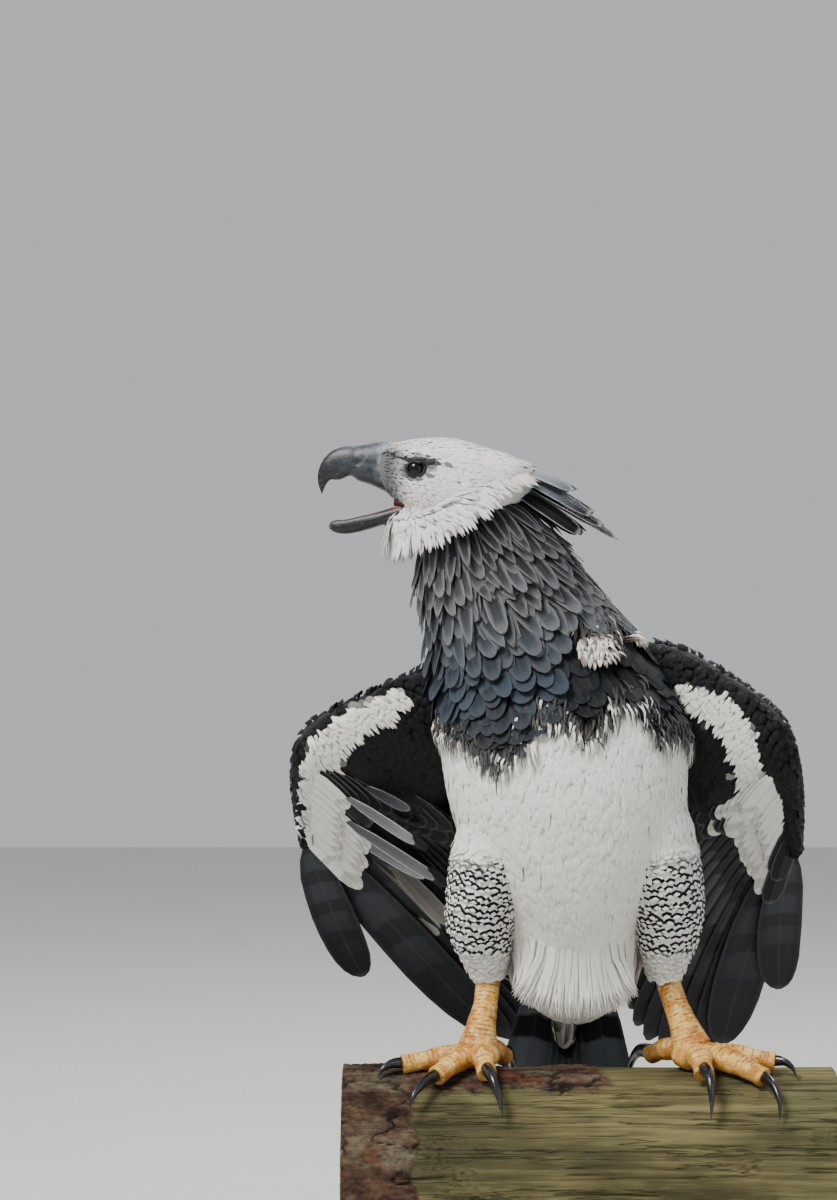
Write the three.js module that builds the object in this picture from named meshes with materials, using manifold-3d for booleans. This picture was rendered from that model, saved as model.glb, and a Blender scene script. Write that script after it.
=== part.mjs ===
// Harpy eagle gripping a cut log, a still life-size display model on a small stand.
// Millimetres, +Z up. The bird's body faces -Y, its own left is +X, and its head is turned to its right (-X).
// The origin is the middle of the stand base's underside. All above the base is built in the perch frame,
// whose origin is on top of the log between the feet, and is then raised as one group.
import * as THREE from 'three';
import { mergeVertices } from 'three/addons/utils/BufferGeometryUtils.js';
import Module from 'manifold-3d';

const wasm = await Module();
wasm.setup();

// Stand, log and general sizes
const GAP = 0.3;
const BASE = { length: 420, depth: 340, thickness: 16, bevel: 3 };
const LOG = { radius: 115, left: -255, right: 285, rings: 8, sides: 24, waver: 3.2 };
const ROD = { radius: 11, height: 35, offset: 130, centre: 15, sides: 20 };
const PERCH_TOP = BASE.thickness + ROD.height + 2 * LOG.radius;
const NECK_CUT = 452;
const HEAD_MID_Y = -20;
const MERGE_TOLERANCE = 0.01;

// Colours by the first word of a node's name
const COLOURS = {
  head: 0xcfcfca, neck: 0x59616b, torso: 0xe9e6de, wing: 0x1d2126, tail: 0x24262a, thigh: 0xdcd9d0,
  foot: 0xd9a24a, claw: 0x17171a, bill: 0x33373c, eye: 0x120d0a, perch: 0x7a6048, stand: 0x5b4433,
};

// Feather outlines: how far along a station lies, and the share of the full width there
const FLIGHT_SHAPE = [[0, 0.42], [0.3, 0.86], [0.66, 1], [0.91, 0.74], [1, 0.2]];
const INNER_SHAPE = [[0, 0.42], [0.45, 0.95], [0.9, 0.8], [1, 0.35]];
const COVERT_SHAPE = [[0, 0.6], [0.6, 1], [0.93, 0.72], [1, 0.3]];
const UNDER_SHAPE = [[0, 0.6], [0.7, 1], [1, 0.35]];
const SCALE_SHAPE = [[0, 0.6], [0.62, 1], [1, 0.42]];
const LANCE_SHAPE = [[0, 0.7], [0.4, 1], [0.8, 0.62], [1, 0.12]];

// Small helpers
const vec = (x, y, z) => new THREE.Vector3(x, y, z);
const lerp = (a, b, t) => a + (b - a) * t;
const mix = (p, q, t) => p.clone().lerp(q, t);
const minus = (p, q) => p.clone().sub(q);
const across = (v, axis) => v.clone().addScaledVector(axis, -v.dot(axis)).normalize();
const spread = (count, make) =>
  Array.from({ length: count }, (_, i) => make(count > 1 ? i / (count - 1) : 0.5, i));

// Seeded random numbers between -1 and 1
function wobbler(seed) {
  let state = seed;
  return () => {
    state = (state * 1664525 + 1013904223) % 4294967296;
    return (state / 4294967296) * 2 - 1;
  };
}

// One row of numbers read off a list of rows by a smooth curve through them, t running from 0 to 1
function smoothRow(rows, t) {
  const place = Math.min(Math.max(t, 0), 1) * (rows.length - 1);
  const i = Math.min(Math.floor(place), rows.length - 2);
  const f = place - i;
  const row = (k) => rows[Math.min(Math.max(k, 0), rows.length - 1)];
  return row(i).map((_, k) => {
    const [a, b, c, d] = [row(i - 1)[k], row(i)[k], row(i + 1)[k], row(i + 2)[k]];
    return b + 0.5 * f * (c - a + f * (2 * a - 5 * b + 4 * c - d + f * (3 * (b - c) + d - a)));
  });
}

// Points and triangles to a closed solid whose faces point out
function solidFrom(points, triangles) {
  const corner = ([a, b, c]) => points[a].dot(points[b].clone().cross(points[c]));
  const volume = triangles.reduce((sum, triangle) => sum + corner(triangle), 0);
  const outward = volume < 0 ? triangles.map(([a, b, c]) => [a, c, b]) : triangles;
  return new wasm.Manifold(new wasm.Mesh({
    numProp: 3,
    vertProperties: Float32Array.from(points.flatMap((p) => [p.x, p.y, p.z])),
    triVerts: Uint32Array.from(outward.flat()),
  }));
}

// A three.js geometry to a solid
function solidFromGeometry(geometry) {
  const bare = geometry.clone();
  bare.deleteAttribute('normal');
  bare.deleteAttribute('uv');
  const merged = mergeVertices(bare, 1e-4);
  const place = merged.getAttribute('position');
  const points = spread(place.count, (_, i) => vec(place.getX(i), place.getY(i), place.getZ(i)));
  const index = Array.from(merged.getIndex().array);
  const faces = spread(index.length / 3, (_, i) => index.slice(3 * i, 3 * i + 3));
  return solidFrom(points, faces.filter((face) => new Set(face).size === 3));
}

// A skin through closed rings of equal count, shut at both ends. A side in the turned list is split along
// its other diagonal.
function loft(rings, turned = []) {
  const count = rings[0].length;
  const points = rings.flat();
  const triangles = [];
  for (let r = 0; r + 1 < rings.length; r += 1) {
    for (let k = 0; k < count; k += 1) {
      const a = r * count + k;
      const b = r * count + ((k + 1) % count);
      const [c, d] = [a + count, b + count];
      if (turned.includes(k)) triangles.push([a, b, c], [b, d, c]);
      else triangles.push([a, b, d], [a, d, c]);
    }
  }
  const last = (rings.length - 1) * count;
  if (count === 4) {
    triangles.push([0, 2, 1], [0, 3, 2], [last, last + 1, last + 2], [last, last + 2, last + 3]);
    return solidFrom(points, triangles);
  }
  const middle = (ring) => ring.reduce((sum, p) => sum.add(p), vec(0, 0, 0)).divideScalar(count);
  points.push(middle(rings[0]), middle(rings.at(-1)));
  for (let k = 0; k < count; k += 1) {
    const next = (k + 1) % count;
    triangles.push([points.length - 2, next, k], [points.length - 1, last + k, last + next]);
  }
  return solidFrom(points, triangles);
}

// A ring on an oval with half-axes a along side and b along up. Squareness under 1 fills its corners.
function ovalRing(centre, side, up, a, b, sides, squareness = 1) {
  const bulge = (v) => Math.sign(v) * Math.abs(v) ** squareness;
  return Array.from({ length: sides }, (_, k) => {
    const angle = (2 * Math.PI * k) / sides;
    return centre.clone()
      .addScaledVector(side, a * bulge(Math.cos(angle)))
      .addScaledVector(up, b * bulge(Math.sin(angle)));
  });
}

// A round-sectioned limb along a smooth line. Each row is x, y, z, half-width, half-height, and wide is
// the rough direction of the width.
function limb(rows, wide, { rings = 8, sides = 10, grow = 0 } = {}) {
  const stations = spread(rings, (t) => smoothRow(rows, t));
  const centres = stations.map(([x, y, z]) => vec(x, y, z));
  return loft(stations.map(([, , , a, b], i) => {
    const along = minus(centres[Math.min(i + 1, rings - 1)], centres[Math.max(i - 1, 0)]).normalize();
    const side = across(wide, along);
    return ovalRing(centres[i], side, along.clone().cross(side), a + grow, b + grow, sides);
  }));
}

// The largest closed surface of a solid
function largest(solid) {
  return solid.decompose().reduce((best, piece) => (piece.volume() > best.volume() ? piece : best));
}

const fuse = (pieces) => largest(wasm.Manifold.union(pieces));

// The space on one side of a plane, for parting a body with a thin cut
function halfSpace(point, normal) {
  const size = 1500;
  const box = new THREE.BoxGeometry(size, size, size);
  box.translate(0, 0, size / 2);
  box.applyQuaternion(new THREE.Quaternion().setFromUnitVectors(vec(0, 0, 1), normal.clone().normalize()));
  box.translate(point.x, point.y, point.z);
  return solidFromGeometry(box);
}

// A feather: a thin closed blade that bends from its root to its tip. Its flat side faces dorsal at the
// root and tipDorsal at the tip, arch lifts its middle and both faces are split into like triangles.
function feather({
  root, tip, dorsal, tipDorsal = dorsal, width, thickness = 1, arch = 0, shape = COVERT_SHAPE,
}) {
  const along = minus(tip, root).normalize();
  const [startUp, endUp] = [across(dorsal, along), across(tipDorsal, along)];
  const middle = mix(root, tip, 0.5).addScaledVector(startUp, 2 * arch);
  const rings = shape.map(([t, share]) => {
    const centre = mix(mix(root, middle, t), mix(middle, tip, t), t);
    const ahead = mix(minus(middle, root), minus(tip, middle), t).normalize();
    const up = across(mix(startUp, endUp, t), ahead);
    const side = ahead.clone().cross(up).multiplyScalar((width * share) / 2);
    const rise = up.multiplyScalar(thickness / 2);
    return [
      centre.clone().add(side).add(rise),
      centre.clone().sub(side).add(rise),
      centre.clone().sub(side).sub(rise),
      centre.clone().add(side).sub(rise),
    ];
  });
  return loft(rings, [2]);
}

// Body. One form from the lower belly to the top of the neck, parted by a plane later. Each row is the
// section's centre x, y, z, its half-width, its half-depth and the neck's lean towards -X in radians.
const TRUNK_ROWS = [
  [4, 74, 44, 26, 20, 0],
  [2, 70, 62, 52, 42, 0],
  [0, 64, 90, 72, 66, 0],
  [0, 52, 125, 78, 86, 0],
  [0, 38, 165, 82, 102, 0],
  [-2, 26, 210, 104, 116, 0],
  [-5, 16, 260, 127, 124, 0],
  [-9, 8, 310, 137, 126, 0],
  [-13, 6, 360, 138, 120, 0.02],
  [-22, 8, 405, 130, 108, 0.08],
  [-37, 10, 448, 114, 94, 0.2],
  [-58, 8, 488, 97, 84, 0.3],
  [-80, 2, 524, 87, 76, 0.38],
  [-98, -5, 556, 78, 69, 0.44],
  [-112, -12, 586, 68, 60, 0.46],
  [-124, -18, 612, 52, 46, 0.46],
];
const TRUNK = { rings: 19, sides: 20, squareness: 0.94 };

function trunkRing(t, grow, sides) {
  const [x, y, z, a, b, lean] = smoothRow(TRUNK_ROWS, t);
  const side = vec(Math.cos(lean), 0, Math.sin(lean));
  return ovalRing(vec(x, y, z), side, vec(0, 1, 0), a + grow, b + grow, sides, TRUNK.squareness);
}

const trunk = (grow = 0) => loft(spread(TRUNK.rings, (t) => trunkRing(t, grow, TRUNK.sides)));

// A point on the trunk's skin and the outward direction there, for a turn round it and a height share
function trunkSkin(t, turn) {
  const count = 720;
  const k = Math.round((((turn % 1) + 1) % 1) * count) % count;
  const ring = trunkRing(t, 0, count);
  const around = minus(ring[(k + 1) % count], ring[(k + count - 1) % count]);
  const upward = minus(trunkRing(t + 0.01, 0, count)[k], trunkRing(t - 0.01, 0, count)[k]);
  return { point: ring[k], normal: around.cross(upward).normalize() };
}

// Neck feathers in staggered rows round the neck: height share of the roots and of the tips, how many go
// round, their width and how far their tips stand off.
const NECK_ROWS = [
  { root: 0.92, tip: 0.852, count: 8, width: 34, lift: 9 },
  { root: 0.872, tip: 0.797, count: 9, width: 38, lift: 12 },
  { root: 0.82, tip: 0.743, count: 10, width: 41, lift: 13 },
  { root: 0.768, tip: 0.69, count: 10, width: 46, lift: 12 },
  { root: 0.717, tip: 0.64, count: 11, width: 48, lift: 10 },
];

function neckFeathers() {
  const wobble = wobbler(7);
  return NECK_ROWS.flatMap(({ root, tip, count, width, lift }, row) => spread(count, (_, i) => {
    const turn = (i + (row % 2) / 2 + 0.12 * wobble()) / count;
    const start = trunkSkin(root + 0.006 * wobble(), turn);
    const end = trunkSkin(tip + 0.006 * wobble(), turn);
    return feather({
      root: start.point.addScaledVector(start.normal, -5),
      tip: end.point.addScaledVector(end.normal, lift + 2 * wobble()),
      dorsal: start.normal, tipDorsal: end.normal, width, thickness: 1.2, arch: 3, shape: SCALE_SHAPE,
    });
  }));
}

// Head, seen from its side: each row is x, the crown's height, the underside's height and the half-width.
const SKULL_ROWS = [
  [-46, 664, 640, 22],
  [-62, 669, 622, 38],
  [-84, 677, 604, 49],
  [-108, 685, 592, 55],
  [-132, 692, 588, 55],
  [-154, 694, 594, 51],
  [-174, 693, 603, 45],
  [-190, 690.5, 616, 38],
  [-204, 688.5, 628, 30],
  [-215, 686.5, 637, 23],
];
const SKULL = { rings: 10, sides: 14, squareness: 0.9 };
const BESIDE = vec(0, 1, 0);

function skull(grow = 0) {
  return loft(spread(SKULL.rings, (t) => {
    const [x, top, bottom, half] = smoothRow(SKULL_ROWS, t);
    const [centre, tall] = [vec(x, HEAD_MID_Y, (top + bottom) / 2), (top - bottom) / 2];
    return ovalRing(centre, BESIDE, vec(0, 0, 1), half + grow, tall + grow, SKULL.sides, SKULL.squareness);
  }));
}

// The feathered lower jaw, dropped open below the mouth
const JAW_ROWS = [
  [-140, HEAD_MID_Y, 600, 44, 26],
  [-165, HEAD_MID_Y, 601, 38, 22],
  [-186, HEAD_MID_Y, 602, 29, 16],
  [-201, HEAD_MID_Y, 602, 20, 10.5],
  [-212, HEAD_MID_Y, 602, 13, 7],
];
const jaw = (grow = 0) => limb(JAW_ROWS, BESIDE, { rings: 5, sides: 10, grow });

// The hooked upper bill and the lower bill along their bent middle lines
const UPPER_BILL_ROWS = [
  [-206, HEAD_MID_Y, 663, 17, 24.5],
  [-222, HEAD_MID_Y, 663.5, 15.5, 21.5],
  [-240, HEAD_MID_Y, 663, 13, 18.5],
  [-256, HEAD_MID_Y, 659.5, 10.5, 15],
  [-268, HEAD_MID_Y, 653, 8, 11],
  [-276, HEAD_MID_Y, 643.5, 5, 6.5],
  [-278.5, HEAD_MID_Y, 631, 1.2, 1.4],
];
const LOWER_BILL_ROWS = [
  [-192, HEAD_MID_Y, 612, 14, 8],
  [-212, HEAD_MID_Y, 607, 13, 7.5],
  [-230, HEAD_MID_Y, 602.5, 11, 7],
  [-248, HEAD_MID_Y, 599, 8, 6],
  [-262, HEAD_MID_Y, 597, 5, 4],
  [-269.5, HEAD_MID_Y, 596, 1.6, 1.6],
];
const NOSTRIL = { x: -238, z: 666, depth: 3, length: 5, height: 2.4, lean: 0.5 };
const upperBill = () => limb(UPPER_BILL_ROWS, BESIDE, { rings: 10, sides: 10 });
const lowerBill = () => limb(LOWER_BILL_ROWS, BESIDE, { rings: 7, sides: 8 });

function nostril(side) {
  const slit = new THREE.SphereGeometry(1, 6, 4);
  slit.scale(NOSTRIL.length, NOSTRIL.depth, NOSTRIL.height);
  slit.rotateY(NOSTRIL.lean);
  slit.translate(NOSTRIL.x, HEAD_MID_Y + side * 13, NOSTRIL.z);
  return solidFromGeometry(slit);
}

// Eyes, the lids round them and the brow that hangs over them
const EYE = { x: -175, z: 657, radius: 9.5, out: 37.5, lid: 2.4, lidOut: 42.5 };

function eyeball(side, grow = 0) {
  const ball = new THREE.SphereGeometry(EYE.radius + grow, 12, 7);
  ball.translate(EYE.x, HEAD_MID_Y + side * EYE.out, EYE.z);
  return solidFromGeometry(ball);
}

function lids(side) {
  const rim = new THREE.TorusGeometry(EYE.radius, EYE.lid, 4, 12);
  rim.rotateX(Math.PI / 2);
  rim.rotateZ(-side * 0.14);
  rim.translate(EYE.x, HEAD_MID_Y + side * EYE.lidOut, EYE.z);
  return solidFromGeometry(rim);
}

function brow(side) {
  const rows = [[-205, 24, 680, 4, 3], [-190, 36, 675, 5, 4], [-174, 44, 671, 6, 4.5], [-156, 48, 667, 4, 4]];
  const placed = rows.map(([x, out, z, a, b]) => [x, HEAD_MID_Y + side * out, z, a, b]);
  return limb(placed, BESIDE, { rings: 4, sides: 6 });
}

// Crest feathers, laid back over the nape in tiers. Each tier: its count, roots and tips seen from the
// side, how far apart its feathers sit at each end, their width and how far the outer ones fall. Within a
// tier every feather has its own layer, with the middle one on top.
const CREST_TIERS = [
  { count: 3, root: [-64, 664], tip: [2, 634], apart: [12, 18], width: 22, fall: 2.5 },
  { count: 3, root: [-64, 653], tip: [30, 600], apart: [12, 19], width: 21, fall: 4 },
  { count: 2, root: [-66, 645], tip: [45, 585], apart: [22, 40], width: 17, fall: 0 },
  { count: 2, root: [-68, 640], tip: [14, 588], apart: [17, 24], width: 24, fall: 5 },
];
const CREST = { up: vec(0.45, 0, 0.9), layer: 1.9, thickness: 1.1 };

function crestFeathers() {
  return CREST_TIERS.flatMap(({ count, root, tip, apart, width, fall }) => spread(count, (_, i) => {
    const off = i - (count - 1) / 2;
    const depth = CREST.layer * (2 * Math.abs(off) - (off > 0 ? 1 : 0));
    const layer = CREST.up.clone().normalize().multiplyScalar(-depth);
    const start = vec(root[0], HEAD_MID_Y + off * apart[0], root[1]).add(layer);
    const end = vec(tip[0] - fall * Math.abs(off), HEAD_MID_Y + off * apart[1], tip[1]).add(layer);
    return feather({
      root: start, tip: end, dorsal: CREST.up,
      width, thickness: CREST.thickness, arch: 2.5, shape: LANCE_SHAPE,
    });
  }));
}

// The pale ruff where the face's feathers end over the neck. Each row is a root's x, z and half-width on
// the head, then a tip's, from the nape down to the throat.
const RUFF_ROWS = [
  [-74, 660, 30, -42, 641, 36],
  [-92, 652, 42, -62, 630, 52],
  [-110, 640, 49, -84, 614, 66],
  [-128, 624, 50, -106, 594, 74],
  [-146, 610, 46, -132, 578, 72],
  [-162, 602, 38, -156, 568, 62],
  [-178, 599, 30, -180, 562, 46],
  [-190, 598, 21, -200, 556, 34],
];
const RUFF = { count: 7, width: 25 };
const BEARD = { count: 3, apart: 11, root: [-200, 600], tip: [-214, 553], width: 12 };

function ruffFeathers() {
  const wobble = wobbler(23);
  const sides = [-1, 1].flatMap((side) => spread(RUFF.count, (t) => {
    const [rx, rz, rHalf, tx, tz, tHalf] = smoothRow(RUFF_ROWS, t);
    const root = vec(rx, HEAD_MID_Y + side * rHalf, rz);
    const tip = vec(tx + 2 * wobble(), HEAD_MID_Y + side * tHalf, tz + 2 * wobble());
    const dorsal = vec(-0.1 + 0.5 * (0.5 - t), side, 0.25);
    return feather({ root, tip, dorsal, width: RUFF.width, thickness: 1.2, arch: 2, shape: SCALE_SHAPE });
  }));
  const beard = spread(BEARD.count, (_, i) => {
    const y = HEAD_MID_Y + (i - (BEARD.count - 1) / 2) * BEARD.apart;
    const root = vec(BEARD.root[0], y, BEARD.root[1]);
    const tip = vec(BEARD.tip[0] + 3 * wobble(), y, BEARD.tip[1]);
    return feather({
      root, tip, dorsal: vec(-1, 0, 0), width: BEARD.width, thickness: 1.2, shape: SCALE_SHAPE,
    });
  });
  return [...sides, ...beard];
}

// Wings. Each row of an arm is a section: leading edge x, y, z, trailing edge x, y, z and half-thickness,
// from inside the shoulder to the end of the hand. Flight feather tips run from the outermost inwards.
// All feathers of a wing lie on one bent sheet: its origin, its direction along the feathers, the side facing
// back, and the weights of its bend.
const WINGS = {
  right: {
    sheet: { origin: [-286, 19, 327], along: [0.54, 0.6, -0.59], back: [-0.08, 0.74, 0.67],
      bend: [-0.8, 16.9, 33, -12, -16.3, -8.5] },
    rows: [
      [-60, 10, 462, -104, 66, 345, 26],
      [-130, 0, 460, -142, 70, 290, 30],
      [-190, -8, 432, -180, 64, 274, 26],
      [-245, -18, 408, -232, 42, 300, 22],
      [-287, -22, 385, -272, 22, 322, 19],
      [-308, -12, 356, -284, 26, 320, 16],
      [-314, 25, 320, -288, 46, 299, 13],
      [-312, 60, 280, -291, 70, 272, 12],
      [-307, 94, 244, -296, 96, 243, 9],
    ],
    primaryTips: [
      [-243, 298, 74], [-82, 318, -12], [-60, 328, -22], [-47, 330, -16], [-42, 325, -2],
      [-43, 315, 16], [-49, 303, 36], [-58, 290, 57], [-69, 276, 78], [-82, 261, 95],
    ],
    secondaryTips: [[-93, 250, 106], [-83, 250, 104], [-73, 250, 104], [-63, 249, 106], [-53, 247, 110],
      [-44, 244, 114], [-36, 240, 119], [-29, 236, 124], [-24, 232, 129], [-21, 228, 135], [-19, 224, 142]],
  },
  left: {
    sheet: { origin: [224, 28, 320], along: [-0.37, 0.66, -0.65], back: [0.18, 0.74, 0.65],
      bend: [-0.6, 3.5, -31.4, -2.8, 5.4, 2.6] },
    rows: [
      [55, 10, 476, 96, 66, 345, 26],
      [118, 0, 464, 138, 70, 292, 32],
      [167, -8, 436, 166, 66, 284, 30],
      [204, -12, 410, 196, 52, 300, 27],
      [230, -10, 382, 212, 34, 318, 24],
      [246, 5, 350, 222, 34, 312, 20],
      [256, 35, 308, 232, 54, 290, 15],
      [261, 66, 268, 238, 80, 258, 13],
      [263, 98, 234, 250, 101, 231, 9],
    ],
    primaryTips: [
      [276, 340, 61], [207, 392, -22], [180, 392, -44], [153, 386, -56], [129, 376, -50],
      [109, 363, -33], [95, 347, -9], [87, 329, 19], [82, 311, 46], [80, 293, 70],
    ],
    secondaryTips: [[80, 278, 86], [77, 269, 92], [71, 262, 97], [64, 257, 101], [57, 252, 106],
      [50, 248, 111], [43, 244, 117], [37, 239, 123], [31, 235, 129], [25, 231, 136], [19, 226, 143]],
  },
};
const WRIST = 5 / 8;
const CORE_SIDES = 10;
const ARM = [0, WRIST - 0.005, 9];
const HAND = [WRIST + 0.005, 1, 6];
const HAND_ROOTS = { from: 0.985, to: WRIST + 0.015, inset: 0.24 };
const ARM_ROOTS = { from: WRIST - 0.02, to: 0.19, inset: 0.16 };
const FLIGHT = {
  layer: 1.8, thickness: 0.9, primaryWidth: 46, secondaryWidth: 48, outerWidth: 36, middle: 10, sweep: 6,
};
const OUTER_DROP = 4;
const LONG_FEATHERS = 7;
const SHEET_SCALE = { along: 300, across: 100 };

function wingSection(wing, t) {
  const [lx, ly, lz, tx, ty, tz, thick] = smoothRow(wing.rows, t);
  return { lead: vec(lx, ly, lz), trail: vec(tx, ty, tz), thick };
}

// The direction out along the wing at a place
function spanAt(wing, t) {
  const ahead = wingSection(wing, Math.min(t + 0.03, 1));
  const behind = wingSection(wing, Math.max(t - 0.03, 0));
  return ahead.lead.add(ahead.trail).sub(behind.lead).sub(behind.trail).normalize();
}

// A wing's solid core between two stations
function wingCore(wing, [from, to, rings], grow = 0) {
  return loft(spread(rings, (share) => {
    const t = lerp(from, to, share);
    const { lead, trail, thick } = wingSection(wing, t);
    const chord = minus(trail, lead);
    const half = chord.length() / 2;
    chord.normalize();
    const up = spanAt(wing, t).cross(chord).normalize();
    return ovalRing(mix(lead, trail, 0.5), chord, up, half + grow, thick + grow, CORE_SIDES);
  }));
}

// A wing's sheet: a place's plan on it, as along and across, and the point at a height over a plan
function sheetOf({ origin, along, back, bend }) {
  const [base, a] = [vec(...origin), vec(...along).normalize()];
  const up = across(vec(...back), a);
  const b = up.clone().cross(a);
  const plan = (point) => [minus(point, base).dot(a), minus(point, base).dot(b)];
  const at = ([p, q], height) => {
    const [u, v] = [p / SHEET_SCALE.along, q / SHEET_SCALE.across];
    const rise = [1, u, v, u * u, u * v, v * v].reduce((sum, term, i) => sum + term * bend[i], height);
    return base.clone().addScaledVector(a, p).addScaledVector(b, q).addScaledVector(up, rise);
  };
  return { plan, at };
}

// A blade lying on a sheet, given its root's and tip's plans, its width and its height at both
function blade(sheet, { root, tip, width, height, shape, thickness = FLIGHT.thickness, sweep = 0 }) {
  const run = [tip[0] - root[0], tip[1] - root[1]];
  const long = Math.hypot(...run);
  const aside = [-run[1] / long, run[0] / long];
  return loft(shape.map(([t, share]) => {
    const bow = sweep * 4 * t * (1 - t);
    const level = lerp(height[0], height[1], t);
    const corner = (side, face) => sheet.at(
      [0, 1].map((k) => root[k] + run[k] * t + aside[k] * (bow + (side * width * share) / 2)),
      level + (face * thickness) / 2,
    );
    return [corner(1, 1), corner(-1, 1), corner(-1, -1), corner(1, -1)];
  }), [2]);
}

// The plans of a wing's flight feathers, from the outermost inwards. Each lies one layer over the last.
function flightPlans(wing, sheet) {
  const rooted = (tips, { from, to, inset }, width) => spread(tips.length, (share, i) => {
    const { lead, trail } = wingSection(wing, lerp(from, to, share));
    return { root: sheet.plan(mix(trail, lead, inset)), tip: sheet.plan(vec(...tips[i])), width };
  });
  const primaries = rooted(wing.primaryTips, HAND_ROOTS, FLIGHT.primaryWidth);
  primaries[0].width = FLIGHT.outerWidth;
  return [...primaries, ...rooted(wing.secondaryTips, ARM_ROOTS, FLIGHT.secondaryWidth)];
}

const layerHeight = (place) => (place - FLIGHT.middle) * FLIGHT.layer;

function flightFeathers(wing, sheet, plans) {
  return plans.map((plan, i) => {
    const outer = i === 0 ? OUTER_DROP : 0;
    const height = [layerHeight(i) - outer, layerHeight(i) - outer];
    const shape = i < LONG_FEATHERS ? FLIGHT_SHAPE : INNER_SHAPE;
    return blade(sheet, { ...plan, height, shape, sweep: FLIGHT.sweep });
  });
}

// Coverts lie over the flight feathers' bases on the wing's back, or below them on its underside. Each
// tier: which flight feathers it spans, how many, how far back from their roots it starts, its length,
// its height over them at root and tip, its width and the side it lies on.
const COVERT_TIERS = [
  {
    span: [1.4, 8.4], count: 5, inset: 20, length: 140, rise: [10, 14], width: 32,
    side: 1, shape: COVERT_SHAPE,
  },
  {
    span: [11.6, 19.4], count: 6, inset: 14, length: 140, rise: [11, 14], width: 42,
    side: 1, shape: COVERT_SHAPE,
  },
  {
    span: [3, 6], count: 2, inset: 24, length: 60, rise: [15, 20], width: 34,
    side: 1, shape: UNDER_SHAPE,
  },
  {
    span: [12.2, 19], count: 4, inset: 30, length: 84, rise: [18, 23], width: 44,
    side: 1, shape: UNDER_SHAPE,
  },
  {
    span: [1.4, 7.6], count: 3, inset: 16, length: 104, rise: [8, 12], width: 34,
    side: -1, shape: UNDER_SHAPE,
  },
  {
    span: [11.4, 19], count: 4, inset: 12, length: 100, rise: [13, 17], width: 42,
    side: -1, shape: UNDER_SHAPE,
  },
];

function coverts(sheet, plans, { span, count, inset, length, rise, width, side, shape }) {
  return spread(count, (share) => {
    const place = lerp(span[0], span[1], share);
    const i = Math.min(Math.floor(place), plans.length - 2);
    const blend = (key) => [0, 1].map((k) => lerp(plans[i][key][k], plans[i + 1][key][k], place - i));
    const [start, end] = [blend('root'), blend('tip')];
    const long = Math.hypot(end[0] - start[0], end[1] - start[1]);
    const along = [0, 1].map((k) => (end[k] - start[k]) / long);
    return blade(sheet, {
      root: start.map((v, k) => v - along[k] * inset), tip: start.map((v, k) => v + along[k] * length),
      width, height: rise.map((v) => layerHeight(place) + side * v), shape,
    });
  });
}

function wingParts(wing) {
  const sheet = sheetOf(wing.sheet);
  const plans = flightPlans(wing, sheet);
  const blades = flightFeathers(wing, sheet, plans);
  const split = wing.primaryTips.length;
  const tierOn = (onHand) => COVERT_TIERS.filter(({ span }) => span[1] < split === onHand)
    .flatMap((tier) => coverts(sheet, plans, tier));
  const build = (own, other, feathers) => {
    const clear = wasm.Manifold.union(feathers).subtract(wingCore(wing, other, GAP));
    return fuse([wingCore(wing, own), clear]);
  };
  return {
    hand: build(HAND, ARM, [...blades.slice(0, split), ...tierOn(true)]),
    arm: build(ARM, HAND, [...blades.slice(split), ...tierOn(false)]),
  };
}

// Tail: flight feathers in flat layers, the middle pair on top, with a tier of coverts over their roots
const TAIL = {
  root: [0, 112, 122], back: 0.52, length: 385, pairs: 6, layer: 1.2, thickness: 0.8, width: 60,
  rootApart: 4.4, tipApart: 14, outerShort: 14,
};
const TAIL_COVERTS = { count: 4, apart: 20, length: 150, width: 40, rise: [7, 10] };

function tailPart() {
  const along = vec(0, Math.sin(TAIL.back), -Math.cos(TAIL.back));
  const up = vec(0, Math.cos(TAIL.back), Math.sin(TAIL.back));
  const root = vec(...TAIL.root);
  const place = (x, down, rise) => root.clone().addScaledVector(along, down).addScaledVector(up, rise)
    .add(vec(x, 0, 0));
  const blades = [];
  for (let pair = 0; pair < TAIL.pairs; pair += 1) {
    for (const side of [-1, 1]) {
      const layer = -(2 * pair + (side > 0 ? 1 : 0)) * TAIL.layer;
      const off = side * (pair + 0.5);
      const long = TAIL.length - TAIL.outerShort * (pair / (TAIL.pairs - 1)) ** 2;
      blades.push(feather({
        root: place(off * TAIL.rootApart, 12, layer), tip: place(off * TAIL.tipApart, long, layer),
        dorsal: up, width: TAIL.width, thickness: TAIL.thickness, shape: INNER_SHAPE,
      }));
    }
  }
  const coverts = spread(TAIL_COVERTS.count, (_, i) => {
    const off = i - (TAIL_COVERTS.count - 1) / 2;
    const { apart, length, width, rise } = TAIL_COVERTS;
    const lower = 2 * Math.abs(off) - (off > 0 ? 1 : 0);
    return feather({
      root: place(off * apart * 0.55, 0, rise[0] - lower),
      tip: place(off * apart, length - 8 * lower, rise[1] - lower),
      dorsal: up, width, shape: UNDER_SHAPE, arch: 2,
    });
  });
  const rumpRows = [[0, -30, 4, 44, 26], [0, 0, 0, 36, 19], [0, 45, -4, 27, 12]];
  const rump = limb(rumpRows.map(([x, down, rise, a, b]) => {
    const p = place(x, down, rise);
    return [p.x, p.y, p.z, a, b];
  }), vec(1, 0, 0), { rings: 5, sides: 12 });
  return fuse([rump, ...blades, ...coverts]);
}

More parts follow.
